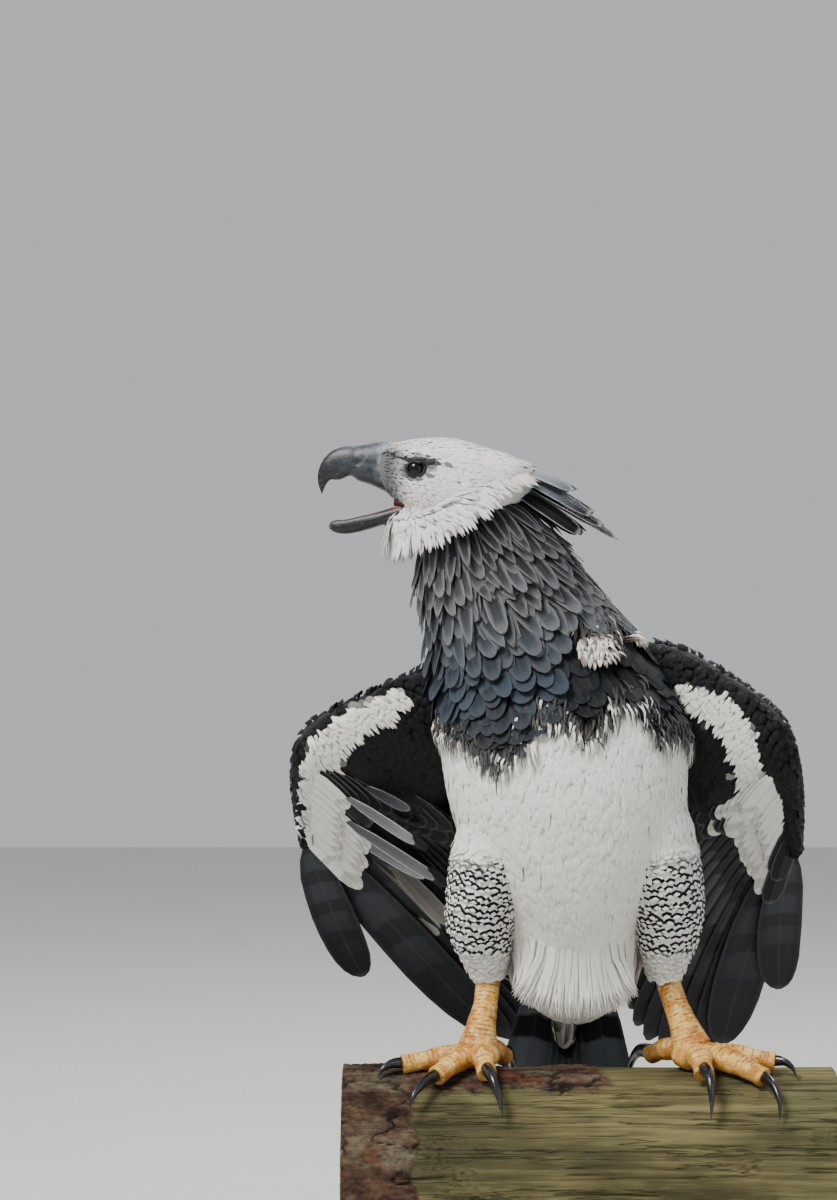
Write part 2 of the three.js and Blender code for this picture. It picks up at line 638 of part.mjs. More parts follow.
// Legs. Every row is x, y, z and two half-sizes; toes and claws bend over the log.
const LEGS = {
  right: {
    thigh: [[-84, -8, 272, 44, 62], [-92, -10, 235, 44, 56], [-100, -4, 195, 39, 46], [-103, 8, 160, 36, 39],
      [-100, 20, 128, 32, 33], [-94, 28, 100, 23, 25]],
    shank: [[-94, 30, 112, 15, 16], [-95, 24, 92, 14, 15], [-98, 14, 68, 14, 14], [-103, 4, 45, 17, 17],
      [-106, -2, 24, 23, 19]],
    pad: [-106, -6, 15],
    toes: {
      inner: { rows: [[-106, -6, 18], [-102, -36, 17], [-98, -58, 2]],
        claw: [[-98, -60, 8], [-93, -84, 3], [-86, -97, -16], [-82, -99, -36]] },
      middle: { rows: [[-108, -6, 18], [-130, -32, 13], [-153, -58, 0]],
        claw: [[-152, -57, 2], [-166, -78, -3], [-177, -92, -14], [-182, -98, -27]] },
      outer: { rows: [[-108, -4, 18], [-148, -20, 14], [-190, -28, 8]],
        claw: [[-188, -28, 10], [-201, -34, 10], [-211, -40, 5], [-216, -44, -4]] },
      hind: { rows: [[-104, -2, 18], [-88, 26, 15], [-76, 48, 4]],
        claw: [[-77, 46, 8], [-70, 74, 4], [-64, 96, -18], [-62, 102, -46]] },
    },
  },
  left: {
    thigh: [[84, -8, 272, 44, 62], [92, -10, 235, 44, 56], [100, -4, 195, 39, 46], [103, 8, 160, 36, 39],
      [103, 20, 128, 32, 33], [101, 28, 100, 23, 25]],
    shank: [[101, 30, 112, 15, 16], [105, 24, 92, 14, 15], [112, 14, 68, 14, 14], [121, 4, 45, 17, 17],
      [128, -2, 24, 23, 19]],
    pad: [129, -6, 15],
    toes: {
      inner: { rows: [[129, -6, 18], [134, -36, 17], [137, -58, 2]],
        claw: [[137, -60, 8], [140, -84, 3], [141, -97, -16], [140, -99, -38]] },
      middle: { rows: [[131, -6, 18], [168, -30, 12], [202, -56, -2]],
        claw: [[200, -55, 0], [209, -74, -6], [214, -88, -20], [214, -95, -40]] },
      outer: { rows: [[131, -4, 18], [176, -18, 15], [217, -26, 10]],
        claw: [[214, -26, 12], [226, -32, 12], [235, -38, 6], [238, -42, -3]] },
      hind: { rows: [[127, -2, 18], [104, 22, 17], [86, 42, 7]],
        claw: [[88, 40, 11], [76, 66, 8], [68, 90, -12], [65, 98, -40]] },
    },
  },
};
const SIDEWAYS = vec(1, -0.2, 0);
const TOE = { base: 15, tip: 10.5, squash: 0.92 };
const PAD = { radius: 24, depth: 0.95, height: 0.72 };
const CLAW_SIZES = { inner: 8, middle: 6.8, outer: 6, hind: 8.5 };
const CLAW_TAPER = 1.4;
const CLAW_TIP = 0.6;

function toe(rows) {
  const sized = rows.map(([x, y, z], i) => {
    const radius = lerp(TOE.base, TOE.tip, i / (rows.length - 1));
    return [x, y, z, radius, radius * TOE.squash];
  });
  return limb(sized, SIDEWAYS, { rings: 5, sides: 8 });
}

function claw(rows, size, grow = 0) {
  const sized = rows.map(([x, y, z], i) => {
    const radius = size * (1 - (i / (rows.length - 1)) ** CLAW_TAPER) + CLAW_TIP;
    return [x, y, z, radius * 0.85, radius];
  });
  return limb(sized, SIDEWAYS, { rings: 6, sides: 7, grow });
}

// The log, a wavering cylinder along X whose highest line is the perch frame's zero height
function log(grow = 0) {
  return loft(spread(LOG.rings, (t) => {
    const x = lerp(LOG.left, LOG.right, t);
    return spread(LOG.sides, (_, k) => {
      const angle = (2 * Math.PI * k) / LOG.sides;
      const top = Math.max(0, Math.sin(angle));
      const ripple = Math.sin(3 * angle + x * 0.011) + Math.sin(5 * angle - x * 0.017 + 1.3);
      const radius = LOG.radius + grow + LOG.waver * ripple * (1 - top ** 0.5);
      return vec(x, radius * Math.cos(angle), radius * Math.sin(angle) - LOG.radius);
    });
  }));
}

function rod(side) {
  const height = ROD.height + LOG.radius * 0.6;
  const post = new THREE.CylinderGeometry(ROD.radius, ROD.radius, height, ROD.sides);
  post.rotateX(Math.PI / 2);
  post.translate(ROD.centre + side * ROD.offset, 0, -2 * LOG.radius - ROD.height + GAP + height / 2);
  return largest(solidFromGeometry(post).subtract(log(GAP)));
}

// The base is one slab with its upper edges bevelled
function standBase() {
  const { length, depth, thickness, bevel } = BASE;
  const level = (z, inset) => {
    const [a, b] = [length / 2 - inset, depth / 2 - inset];
    return [vec(-a, -b, z), vec(a, -b, z), vec(a, b, z), vec(-a, b, z)];
  };
  return loft([level(0, 0), level(thickness - bevel, 0), level(thickness, bevel)]);
}

// Putting it together
const parts = {};
const body = trunk();
const aroundBody = trunk(GAP);
parts.torso = largest(body.intersect(halfSpace(vec(0, 0, NECK_CUT), vec(0, 0, -1))));

const skullForm = wasm.Manifold.union([skull(), jaw()]);
const aroundHead = wasm.Manifold.union([skull(GAP), jaw(GAP)]);
const wingRoots = ['right', 'left'].map((side) => wingCore(WINGS[side], ARM, GAP));
const neckCore = largest(
  body.intersect(halfSpace(vec(0, 0, NECK_CUT + GAP), vec(0, 0, 1))).subtract(aroundHead),
);
const aroundTorso = aroundBody.intersect(halfSpace(vec(0, 0, NECK_CUT + GAP), vec(0, 0, -1)));
parts.neck = largest(fuse([neckCore, ...neckFeathers()]).subtract(aroundHead).subtract(aroundTorso)
  .subtract(wasm.Manifold.union(wingRoots)));

parts.head = largest(
  fuse([
    skullForm, ...[-1, 1].flatMap((side) => [lids(side), brow(side)]), ...crestFeathers(), ...ruffFeathers(),
  ])
    .subtract(eyeball(-1, GAP)).subtract(eyeball(1, GAP)).subtract(neckCore),
);
parts.bill_upper = largest(upperBill().subtract(aroundHead).subtract(nostril(-1)).subtract(nostril(1)));
parts.bill_lower = largest(lowerBill().subtract(aroundHead));
parts.eye_left = eyeball(-1);
parts.eye_right = eyeball(1);

for (const side of ['right', 'left']) {
  const { hand, arm } = wingParts(WINGS[side]);
  parts[`wing_${side}_arm`] = largest(arm.subtract(aroundBody));
  parts[`wing_${side}_hand`] = largest(hand.subtract(aroundBody));
}
parts.tail = largest(tailPart().subtract(aroundBody));

const aroundLog = log(GAP);
for (const side of ['right', 'left']) {
  const leg = LEGS[side];
  const thigh = (grow) => limb(leg.thigh, vec(1, 0, 0), { rings: 8, sides: 14, grow });
  const shank = limb(leg.shank, vec(1, 0, 0), { rings: 5, sides: 10 });
  const pad = new THREE.SphereGeometry(PAD.radius, 10, 6);
  pad.scale(1, PAD.depth, PAD.height);
  pad.translate(...leg.pad);
  const toes = Object.entries(leg.toes);
  const flesh = fuse([shank, solidFromGeometry(pad), ...toes.map(([, { rows }]) => toe(rows))]);
  const sockets = toes.map(([name, entry]) => claw(entry.claw, CLAW_SIZES[name], GAP));
  parts[`thigh_${side}`] = largest(thigh(0).subtract(aroundBody));
  parts[`foot_${side}`] = largest(wasm.Manifold.difference([flesh, thigh(GAP), aroundLog, ...sockets]));
  for (const [name, entry] of toes) {
    parts[`claw_${side}_${name}`] = largest(claw(entry.claw, CLAW_SIZES[name]).subtract(aroundLog));
  }
}

parts.perch_log = log();
parts.stand_rod_left = rod(1);
parts.stand_rod_right = rod(-1);

// A named mesh from a solid
function meshOf(name, solid) {
  const { vertProperties, triVerts, numProp } = solid.simplify(MERGE_TOLERANCE).getMesh();
  const count = vertProperties.length / numProp;
  const place = new Float32Array(count * 3);
  for (let i = 0; i < count; i += 1) place.set(vertProperties.subarray(i * numProp, i * numProp + 3), 3 * i);
  const geometry = new THREE.BufferGeometry();
  geometry.setAttribute('position', new THREE.BufferAttribute(place, 3));
  geometry.setIndex(new THREE.BufferAttribute(Uint32Array.from(triVerts), 1));
  geometry.computeVertexNormals();
  const metal = name.startsWith('stand_rod');
  const mesh = new THREE.Mesh(geometry, new THREE.MeshStandardMaterial({
    color: metal ? 0x8d8f92 : COLOURS[name.split('_')[0]],
    roughness: metal ? 0.3 : 0.7,
    metalness: metal ? 0.9 : 0,
  }));
  mesh.name = name;
  return mesh;
}

const eagle = new THREE.Group();
const perched = new THREE.Group();
perched.position.z = PERCH_TOP;
for (const [name, solid] of Object.entries(parts)) perched.add(meshOf(name, solid));
eagle.add(meshOf('stand_base', standBase()));
eagle.add(perched);

export default eagle;
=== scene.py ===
import math

import bpy
import numpy as np
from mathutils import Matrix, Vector
from mathutils.bvhtree import BVHTree

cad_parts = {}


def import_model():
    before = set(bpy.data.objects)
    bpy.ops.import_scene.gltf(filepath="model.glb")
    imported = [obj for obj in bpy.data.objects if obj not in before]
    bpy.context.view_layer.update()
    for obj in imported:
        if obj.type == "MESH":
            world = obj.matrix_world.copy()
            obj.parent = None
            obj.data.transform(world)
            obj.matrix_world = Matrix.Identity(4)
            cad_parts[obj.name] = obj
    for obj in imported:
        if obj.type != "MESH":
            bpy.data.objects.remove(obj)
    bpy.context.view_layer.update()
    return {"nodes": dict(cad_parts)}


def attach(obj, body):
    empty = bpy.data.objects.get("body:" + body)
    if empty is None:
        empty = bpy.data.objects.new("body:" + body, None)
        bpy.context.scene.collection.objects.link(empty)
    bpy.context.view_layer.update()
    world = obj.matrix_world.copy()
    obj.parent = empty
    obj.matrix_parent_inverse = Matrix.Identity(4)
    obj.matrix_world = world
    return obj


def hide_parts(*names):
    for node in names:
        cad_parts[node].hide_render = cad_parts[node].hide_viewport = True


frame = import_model()

# Everything is worked out in millimetres in the perch frame, whose origin is on top of the log between the
# feet, and is turned into metres above the stand's underside when a mesh is made. The bird's body faces -Y,
# its own left is +X and its head is turned towards -X.
PERCH_TOP = 281.0
HEAD_Y = -20.0
EYE_X, EYE_Z = -175.0, 657.0
X_AXIS, Y_AXIS, Z_AXIS = np.eye(3)
rng = np.random.default_rng(11)


def world(points):
    return (np.asarray(points, float) + PERCH_TOP * Z_AXIS) / 1000


def placed(name, data):
    obj = bpy.data.objects.new(name, data)
    bpy.context.scene.collection.objects.link(obj)
    return obj


# Camera: level, looking along +Y at the photograph's distance
PHOTO = (837, 1200)
CAMERA = (-172, -3120, 515)
MM_PER_PIXEL = 1.1
camera_data = bpy.data.cameras.new("camera")
camera = placed("camera", camera_data)
camera.location = world(CAMERA)
camera.rotation_euler = (math.radians(90), 0, 0)
camera_data.lens = 85
camera_data.sensor_fit = "VERTICAL"
camera_data.sensor_height = 36
camera_data.sensor_width = 36 * PHOTO[0] / PHOTO[1]
bpy.context.scene.camera = camera


# Number helpers
def unit(v):
    return v / np.maximum(np.linalg.norm(v, axis=-1, keepdims=True), 1e-9)


def dot(a, b):
    return np.sum(a * b, axis=-1, keepdims=True)


def across_from(v, axis):
    """The unit part of v that is square to a unit axis."""
    return unit(v - dot(v, axis) * axis)


def smooth(low, high, v):
    x = np.clip((v - low) / (high - low), 0, 1)
    return x * x * (3 - 2 * x)


def blend(a, b, share):
    return np.asarray(a) + (np.asarray(b) - np.asarray(a)) * share


def tinted(colours, colour, share):
    """Colours moved towards another by a share for each place."""
    return blend(colours, colour, np.asarray(share)[:, None])


def many(value, count):
    return np.broadcast_to(np.asarray(value, float), (count, len(value))).copy()


def rows_at(rows, t):
    """Rows of numbers read off a list of rows by a smooth curve, t from 0 to 1."""
    rows = np.asarray(rows, float)
    place = np.clip(np.asarray(t, float), 0, 1) * (len(rows) - 1)
    i = np.minimum(place.astype(int), len(rows) - 2)
    f = (place - i)[..., None]
    a, b, c, d = (rows[np.clip(i + k, 0, len(rows) - 1)] for k in (-1, 0, 1, 2))
    return b + 0.5 * f * (c - a + f * (2 * a - 5 * b + 4 * c - d + f * (3 * (b - c) + d - a)))


def noise(points, size, seed=0):
    """Smooth value noise from -1 to 1 with cells of the given size."""
    p = np.asarray(points, float) / size + 1000
    cell = np.floor(p).astype(np.int64)
    f = p - cell
    f = f * f * (3 - 2 * f)
    total = 0
    for corner in np.ndindex(2, 2, 2):
        c = cell + np.array(corner)
        h = (c[..., 0] * 374761393 + c[..., 1] * 668265263 + c[..., 2] * 1274126177 + seed * 974711) & 0xFFFFFFFF
        h = ((h ^ (h >> 13)) * 1103515245) & 0xFFFFFFFF
        h = ((h ^ (h >> 16)) * 12345679) & 0xFFFFFFFF
        weight = np.prod([f[..., k] if corner[k] else 1 - f[..., k] for k in range(3)], axis=0)
        total = total + weight * (h / 0x7FFFFFFF - 1)
    return total


def picture(p):
    """Where places fall in the photograph's frame, in its pixels."""
    right, ahead, up = (p[..., k] - CAMERA[k] for k in range(3))
    size = MM_PER_PIXEL * ahead / -CAMERA[1]
    return np.stack([PHOTO[0] / 2 + right / size, PHOTO[1] / 2 - up / size], -1)


def ribbon(p, rows):
    """How deep places lie inside a band drawn in the picture by rows of u, v and half-width: 0 on its edge."""
    at, rows = picture(p), np.asarray(rows, float)
    depth = np.full(at.shape[:-1], -1e9)
    for a, b in zip(rows[:-1], rows[1:]):
        run = b[:2] - a[:2]
        share = np.clip((at - a[:2]) @ run / (run @ run), 0, 1)
        gap = np.linalg.norm(at - a[:2] - share[..., None] * run, axis=-1)
        depth = np.maximum(depth, a[2] + (b[2] - a[2]) * share - gap)
    return depth


def read(items, name, width, kind=float):
    """A property of all of a mesh's items as an array with one row for each."""
    values = np.empty(len(items) * width, kind)
    items.foreach_get(name, values)
    return values.reshape(-1, width)


# Forms: lofted surfaces through rows, the same rows as the solids have
def ring_grid(rings, sides, first=0.0, last=1.0):
    """The t and the angle of each point of a closed tube's grid."""
    t, k = np.meshgrid(np.linspace(first, last, rings), np.arange(sides), indexing="ij")
    return t, 2 * np.pi * k / sides


def tube(points):
    """Vertices and faces of a closed tube from a grid of rings."""
    rings, sides = points.shape[:2]
    index = np.arange(rings * sides).reshape(rings, sides)
    nxt = np.roll(index, -1, axis=1)
    faces = np.stack([index[:-1], nxt[:-1], nxt[1:], index[1:]], -1).reshape(-1, 4).tolist()
    return points.reshape(-1, 3), faces + [index[0][::-1].tolist(), index[-1].tolist()]


class Form:
    """A closed tube whose section at t is centre + side * a * cos + up * b * sin."""

    def __init__(self, rows, axes, squareness=1.0):
        self.rows, self.axes, self.squareness = rows, axes, squareness

    def point(self, t, angle, grow=0.0):
        centre, side, a, up, b = self.axes(self.rows, np.asarray(t, float))
        c, s = np.cos(angle)[..., None], np.sin(angle)[..., None]
        c, s = (np.sign(v) * np.abs(v) ** self.squareness for v in (c, s))
        return centre + side * (a + grow) * c + up * (b + grow) * s

    def normal(self, t, angle, step=0.01):
        around = self.point(t, angle + step) - self.point(t, angle - step)
        ahead = self.point(np.clip(t + step, 0, 1), angle) - self.point(np.clip(t - step, 0, 1), angle)
        n = unit(np.cross(around, ahead))
        out = self.point(t, angle) - self.axes(self.rows, np.asarray(t, float))[0]
        return np.where(dot(n, out) < 0, -n, n)

    def inner_normal(self, t, angle):
        return self.normal(np.clip(t, 0.01, 0.99), angle)

    def mesh(self, rings, sides, grow=0.0):
        return tube(self.point(*ring_grid(rings, sides), grow))


def trunk_axes(rows, t):
    row = rows_at(rows, t)
    lean = row[..., 5]
    side = np.stack([np.cos(lean), 0 * lean, np.sin(lean)], -1)
    return row[..., :3], side, row[..., 3:4], Y_AXIS, row[..., 4:5]


def profile_axes(rows, t):
    """Rows of a head part: its upper edge's x and z, its lower edge's x and z, and its half-width."""
    row = rows_at(rows, t)
    y = 0 * row[..., 0] + HEAD_Y
    top, bottom = (np.stack([row[..., k], y, row[..., k + 1]], -1) for k in (0, 2))
    tall = np.linalg.norm(top - bottom, axis=-1, keepdims=True)
    return (top + bottom) / 2, Y_AXIS, row[..., 4:5], (top - bottom) / np.maximum(tall, 0.01), tall / 2


def limb_axes(wide):
    """Rows of a limb: its middle and its radii towards wide and square to it."""
    def axes(rows, t):
        row = rows_at(rows, t)
        ahead = unit(rows_at(rows, np.clip(t + 0.02, 0, 1))[..., :3] - rows_at(rows, np.clip(t - 0.02, 0, 1))[..., :3])
        side = across_from(np.array(wide), ahead)
        return row[..., :3], side, row[..., 3:4], np.cross(ahead, side), row[..., 4:5]
    return axes


def wing_axes(rows, t):
    """Rows of a wing's core: its leading edge, its trailing edge and half its thickness."""
    row = rows_at(rows, t)
    lead, trail = row[..., :3], row[..., 3:6]
    near = [rows_at(rows, np.clip(t + e, 0, 1)) for e in (0.03, -0.03)]
    span = unit(near[0][..., :3] + near[0][..., 3:6] - near[1][..., :3] - near[1][..., 3:6])
    chord = unit(trail - lead)
    half = np.linalg.norm(trail - lead, axis=-1, keepdims=True) / 2
    return (lead + trail) / 2, chord, half, unit(np.cross(span, chord)), row[..., 6:7]


def on_midline(rows):
    """Rows of x, z and two radii, with the head's y put in."""
    return [[x, HEAD_Y, *rest] for x, *rest in rows]


TRUNK_ROWS = [
    [4, 74, 44, 26, 20, 0], [2, 70, 62, 52, 42, 0], [0, 64, 90, 72, 66, 0], [0, 52, 125, 78, 86, 0],
    [0, 38, 165, 82, 102, 0], [-2, 26, 210, 104, 116, 0], [-5, 16, 260, 127, 124, 0], [-9, 8, 310, 137, 126, 0],
    [-13, 6, 360, 138, 120, 0.02], [-22, 8, 405, 130, 108, 0.08], [-37, 10, 448, 114, 94, 0.2],
    [-58, 8, 488, 97, 84, 0.3], [-80, 2, 524, 87, 76, 0.38], [-98, -5, 556, 78, 69, 0.44],
    [-112, -12, 586, 68, 60, 0.46], [-124, -18, 612, 52, 46, 0.46],
]
# x, top, bottom and half-width
SKULL_ROWS = [
    [-46, 664, 640, 22], [-62, 669, 622, 38], [-84, 677, 604, 49], [-108, 685, 592, 55], [-132, 692, 588, 55],
    [-154, 694, 594, 51], [-174, 693, 603, 45], [-190, 690.5, 616, 38], [-204, 688.5, 628, 30],
    [-215, 686.5, 637, 23],
]
JAW_ROWS = on_midline([
    [-140, 600, 44, 26], [-165, 601, 38, 22], [-186, 602, 29, 16], [-201, 602, 20, 10.5], [-212, 602, 13, 7],
])
THIGH_TOP = [[84, -8, 272, 44, 62], [92, -10, 235, 44, 56], [100, -4, 195, 39, 46], [103, 8, 160, 36, 39]]
THIGH_ROWS = {
    "right": [[-x, *rest] for x, *rest in THIGH_TOP] + [[-98, 20, 128, 28, 31], [-94, 28, 100, 18, 21]],
    "left": THIGH_TOP + [[102, 20, 128, 28, 31], [101, 28, 100, 18, 21]],
}
WINGS = {
    "right": {
        "sheet": ([-286, 19, 327], [0.54, 0.6, -0.59], [-0.08, 0.74, 0.67], [-0.8, 16.9, 33, -12, -16.3, -8.5]),
        "rows": [
            [-60, 10, 462, -104, 66, 345, 26], [-130, 0, 460, -142, 70, 290, 30], [-190, -8, 432, -180, 64, 274, 26],
            [-245, -18, 408, -232, 42, 300, 22], [-287, -22, 385, -272, 22, 322, 19],
            [-308, -12, 356, -284, 26, 320, 16], [-314, 25, 320, -288, 46, 299, 13],
            [-312, 60, 280, -291, 70, 272, 12], [-307, 94, 244, -296, 96, 243, 9],
        ],
        "tips": [
            [-243, 298, 74], [-82, 318, -12], [-60, 328, -22], [-47, 330, -16], [-42, 325, -2], [-43, 315, 16],
            [-49, 303, 36], [-58, 290, 57], [-69, 276, 78], [-82, 261, 95], [-93, 250, 106], [-83, 250, 104],
            [-73, 250, 104], [-63, 249, 106], [-53, 247, 110], [-44, 244, 114], [-36, 240, 119], [-29, 236, 124],
            [-24, 232, 129], [-21, 228, 135], [-19, 224, 142],
        ],
    },
    "left": {
        "sheet": ([224, 28, 320], [-0.37, 0.66, -0.65], [0.18, 0.74, 0.65], [-0.6, 3.5, -31.4, -2.8, 5.4, 2.6]),
        "rows": [
            [55, 10, 476, 96, 66, 345, 26], [118, 0, 464, 138, 70, 292, 32], [167, -8, 436, 166, 66, 284, 30],
            [204, -12, 410, 196, 52, 300, 27], [230, -10, 382, 212, 34, 318, 24], [246, 5, 350, 222, 34, 312, 20],
            [256, 35, 308, 232, 54, 290, 15], [261, 66, 268, 238, 80, 258, 13], [263, 98, 234, 250, 101, 231, 9],
        ],
        "tips": [
            [276, 340, 61], [207, 392, -22], [180, 392, -44], [153, 386, -56], [129, 376, -50], [109, 363, -33],
            [95, 347, -9], [87, 329, 19], [82, 311, 46], [80, 293, 70], [80, 278, 86], [77, 269, 92],
            [71, 262, 97], [64, 257, 101], [57, 252, 106], [50, 248, 111], [43, 244, 117], [37, 239, 123],
            [31, 235, 129], [25, 231, 136], [19, 226, 143],
        ],
    },
}
TRUNK = Form(TRUNK_ROWS, trunk_axes, 0.94)
SKULL = Form([[x, top, x, bottom, half] for x, top, bottom, half in SKULL_ROWS], profile_axes, 0.9)
JAW = Form(JAW_ROWS, limb_axes(Y_AXIS))
THIGHS = {side: Form(rows, limb_axes(X_AXIS)) for side, rows in THIGH_ROWS.items()}
RUMP = Form([[0, 92, 172, 58, 34], [0, 112, 122, 38, 20], [0, 131, 81, 27, 12]], limb_axes(X_AXIS))
BROWS = [
    Form([[x, HEAD_Y + side * off, *rest] for x, off, *rest in (
        (-205, 24, 680, 4, 3), (-190, 36, 675, 5, 4), (-174, 44, 671, 6, 4.5), (-156, 48, 667, 4, 4),
    )], limb_axes(Y_AXIS)) for side in (-1, 1)
]
WING_FORMS = {side: Form(wing["rows"], wing_axes) for side, wing in WINGS.items()}


# Meshes
def finish_piece(name, mesh, material, slot_name, replaces=()):
    obj = placed(name, mesh)
    mesh.polygons.foreach_set("use_smooth", np.ones(len(mesh.polygons), bool))
    mesh.materials.clear()
    mesh.materials.append(material)
    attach(obj, "root")
    if replaces:
        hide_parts(*replaces)


def mesh_from(name, points, faces):
    mesh = bpy.data.meshes.new(name)
    mesh.from_pydata(world(points).tolist(), [], faces)
    mesh.update()
    return mesh


def remeshed(name, meshes, voxel):
    """One closed surface round several overlapping ones, softened a little."""
    points, faces = [], []
    for part_points, part_faces in meshes:
        count = sum(map(len, points))
        points.append(part_points)
        faces += [[i + count for i in face] for face in part_faces]
    source = placed(name, mesh_from(name, np.concatenate(points), faces))
    remesh = source.modifiers.new("remesh", "REMESH")
    remesh.mode = "VOXEL"
    remesh.voxel_size = voxel / 1000
    soften = source.modifiers.new("soften", "SMOOTH")
    soften.iterations, soften.factor = 4, 0.5
    split = source.modifiers.new("split", "TRIANGULATE")
    split.keep_custom_normals = False
    mesh = bpy.data.meshes.new_from_object(source.evaluated_get(bpy.context.evaluated_depsgraph_get()))
    bpy.data.objects.remove(source)
    return mesh


def mesh_arrays(mesh):
    """A mesh's places in the perch frame and its normals."""
    return read(mesh.vertices, "co", 3) * 1000 - PERCH_TOP * Z_AXIS, read(mesh.vertices, "normal", 3)


def paint(mesh, name, colours):
    layer = mesh.attributes.new(name, "FLOAT_COLOR", "POINT")
    layer.data.foreach_set("color", np.concatenate([colours, np.ones((len(colours), 1))], -1).ravel())


# A feather's section: across from -1 to 1 and the share of the half-thickness
SMALL_SECTION = np.array([[1, 0], [0, 1], [-1, 0], [0, -1]], float)
FINE_SECTION = np.array([[1, -0.4], [0, 1], [-1, -0.4]], float)
LARGE_SECTION = np.array([
    [1, 0], [0.55, 0.8], [0.06, 1], [0, 2.2], [-0.06, 1], [-0.55, 0.8], [-1, 0], [-0.5, -0.8], [0, -1.8], [0.5, -0.8],
])
# Outlines: stations along and the share of the full width there
ROUND = np.array([[0, 0.3], [0.2, 0.8], [0.45, 1], [0.7, 0.98], [0.88, 0.76], [0.97, 0.42], [1, 0.12]])
POINTED = np.array([[0, 0.5], [0.25, 0.95], [0.5, 1], [0.75, 0.72], [0.92, 0.34], [1, 0.04]])
LONG = np.array([[0, 0.35], [0.15, 0.7], [0.35, 0.95], [0.6, 1], [0.8, 0.95], [0.92, 0.72], [0.98, 0.4], [1, 0.1]])
STRAND = np.array([[0, 0.6], [0.3, 1], [0.62, 0.85], [0.87, 0.5], [1, 0.05]])
COVERT = np.array([[0, 0.45], [0.25, 0.85], [0.55, 1], [0.8, 0.97], [0.92, 0.74], [0.98, 0.4], [1, 0.12]])
QUILL = np.array([
    [0, 0.16], [0.05, 0.3], [0.14, 0.62], [0.26, 0.84], [0.4, 0.95], [0.54, 1], [0.66, 1], [0.77, 0.96],
    [0.86, 0.85], [0.93, 0.66], [0.975, 0.42], [1, 0.12],
])
# The size of a feather's patch in its coat's bake map, which is laid over the skin's map
PATCH = (0.003, 0.003)


class Coat:
    """Feathers gathered into one mesh. Each is a closed blade with its own colours, marks and bake patch."""

    def __init__(self, section=LARGE_SECTION):
        self.section = section
        self.parts = []

    def add(self, rings, shape, look, patch, patch_size=PATCH, under=None):
        """rings is (feathers, stations, section, 3). look is colours, tip colours and marks, which are rim, dark
        tip and bars. under, where given, is the colours and tip colours of the lower faces."""
        col, tip_col, marks = (np.asarray(v)[:, None, None, :] for v in look[:3])
        size = rings.shape[:3]
        along = np.broadcast_to(shape[None, :, None, 0], size)
        across = np.broadcast_to((self.section[None, None, :, 0] + 1) / 2, size)
        share = smooth(0.35, 0.95, along)[..., None]
        colours = blend(col, tip_col, share)
        if under is not None:
            below = blend(*(v[:, None, None, :] for v in under), share)
            colours = np.where((self.section[:, 1] < 0)[:, None], below, colours)
        bake = patch[:, None, None, :] + np.stack([across - 0.5, along - 0.5], -1) * patch_size
        self.parts.append([a.reshape(size[0], size[1] * size[2], -1) for a in (
            rings, colours, np.broadcast_to(marks, colours.shape), np.stack([across, along], -1), bake)])

    def make(self, name, material, slot_name, replaces=()):
        sides = len(self.section)
        places, colours, marks, vanes, bakes = (
            np.concatenate([part[k].reshape(-1, part[k].shape[-1]) for part in self.parts]) for k in range(5))
        quads, caps, start = [], [], 0
        for rings, *_ in self.parts:
            count, per = rings.shape[:2]
            grid = np.arange(per).reshape(-1, sides)
            nxt = np.roll(grid, -1, axis=1)
            local = np.stack([grid[:-1], grid[1:], nxt[1:], nxt[:-1]], -1).reshape(-1, 4)
            base = (start + per * np.arange(count))[:, None, None]
            quads.append((base + local).reshape(-1, 4))
            caps.append((base + np.stack([grid[0], grid[-1][::-1]])).reshape(-1, sides))
            start += per * count
        quads, caps = np.concatenate(quads), np.concatenate(caps)
        loops = np.concatenate([quads.ravel(), caps.ravel()])
        sizes = np.repeat([4, sides], [len(quads), len(caps)])
        mesh = bpy.data.meshes.new(name)
        mesh.vertices.add(len(places))
        mesh.vertices.foreach_set("co", world(places).ravel())
        mesh.loops.add(len(loops))
        mesh.loops.foreach_set("vertex_index", loops.astype(np.int32))
        mesh.polygons.add(len(sizes))
        mesh.polygons.foreach_set("loop_start", (np.cumsum(sizes) - sizes).astype(np.int32))
        mesh.update(calc_edges=True)
        for layer_name, values in (("OFBake", bakes), ("Vane", vanes)):
            mesh.uv_layers.new(name=layer_name).data.foreach_set("uv", values[loops].ravel())
        paint(mesh, "Col", colours)
        paint(mesh, "Mark", marks)
        # The edges that run along a feather's two rims are sharp
        ends = read(mesh.edges, "vertices", 2, np.int32) % sides
        rim = np.abs(self.section[:, 0]) > 0.99
        sharp = mesh.attributes.new("sharp_edge", "BOOLEAN", "EDGE")
        sharp.data.foreach_set("value", (ends[:, 0] == ends[:, 1]) & rim[ends[:, 0]])
        finish_piece(name, mesh, material, slot_name, replaces)


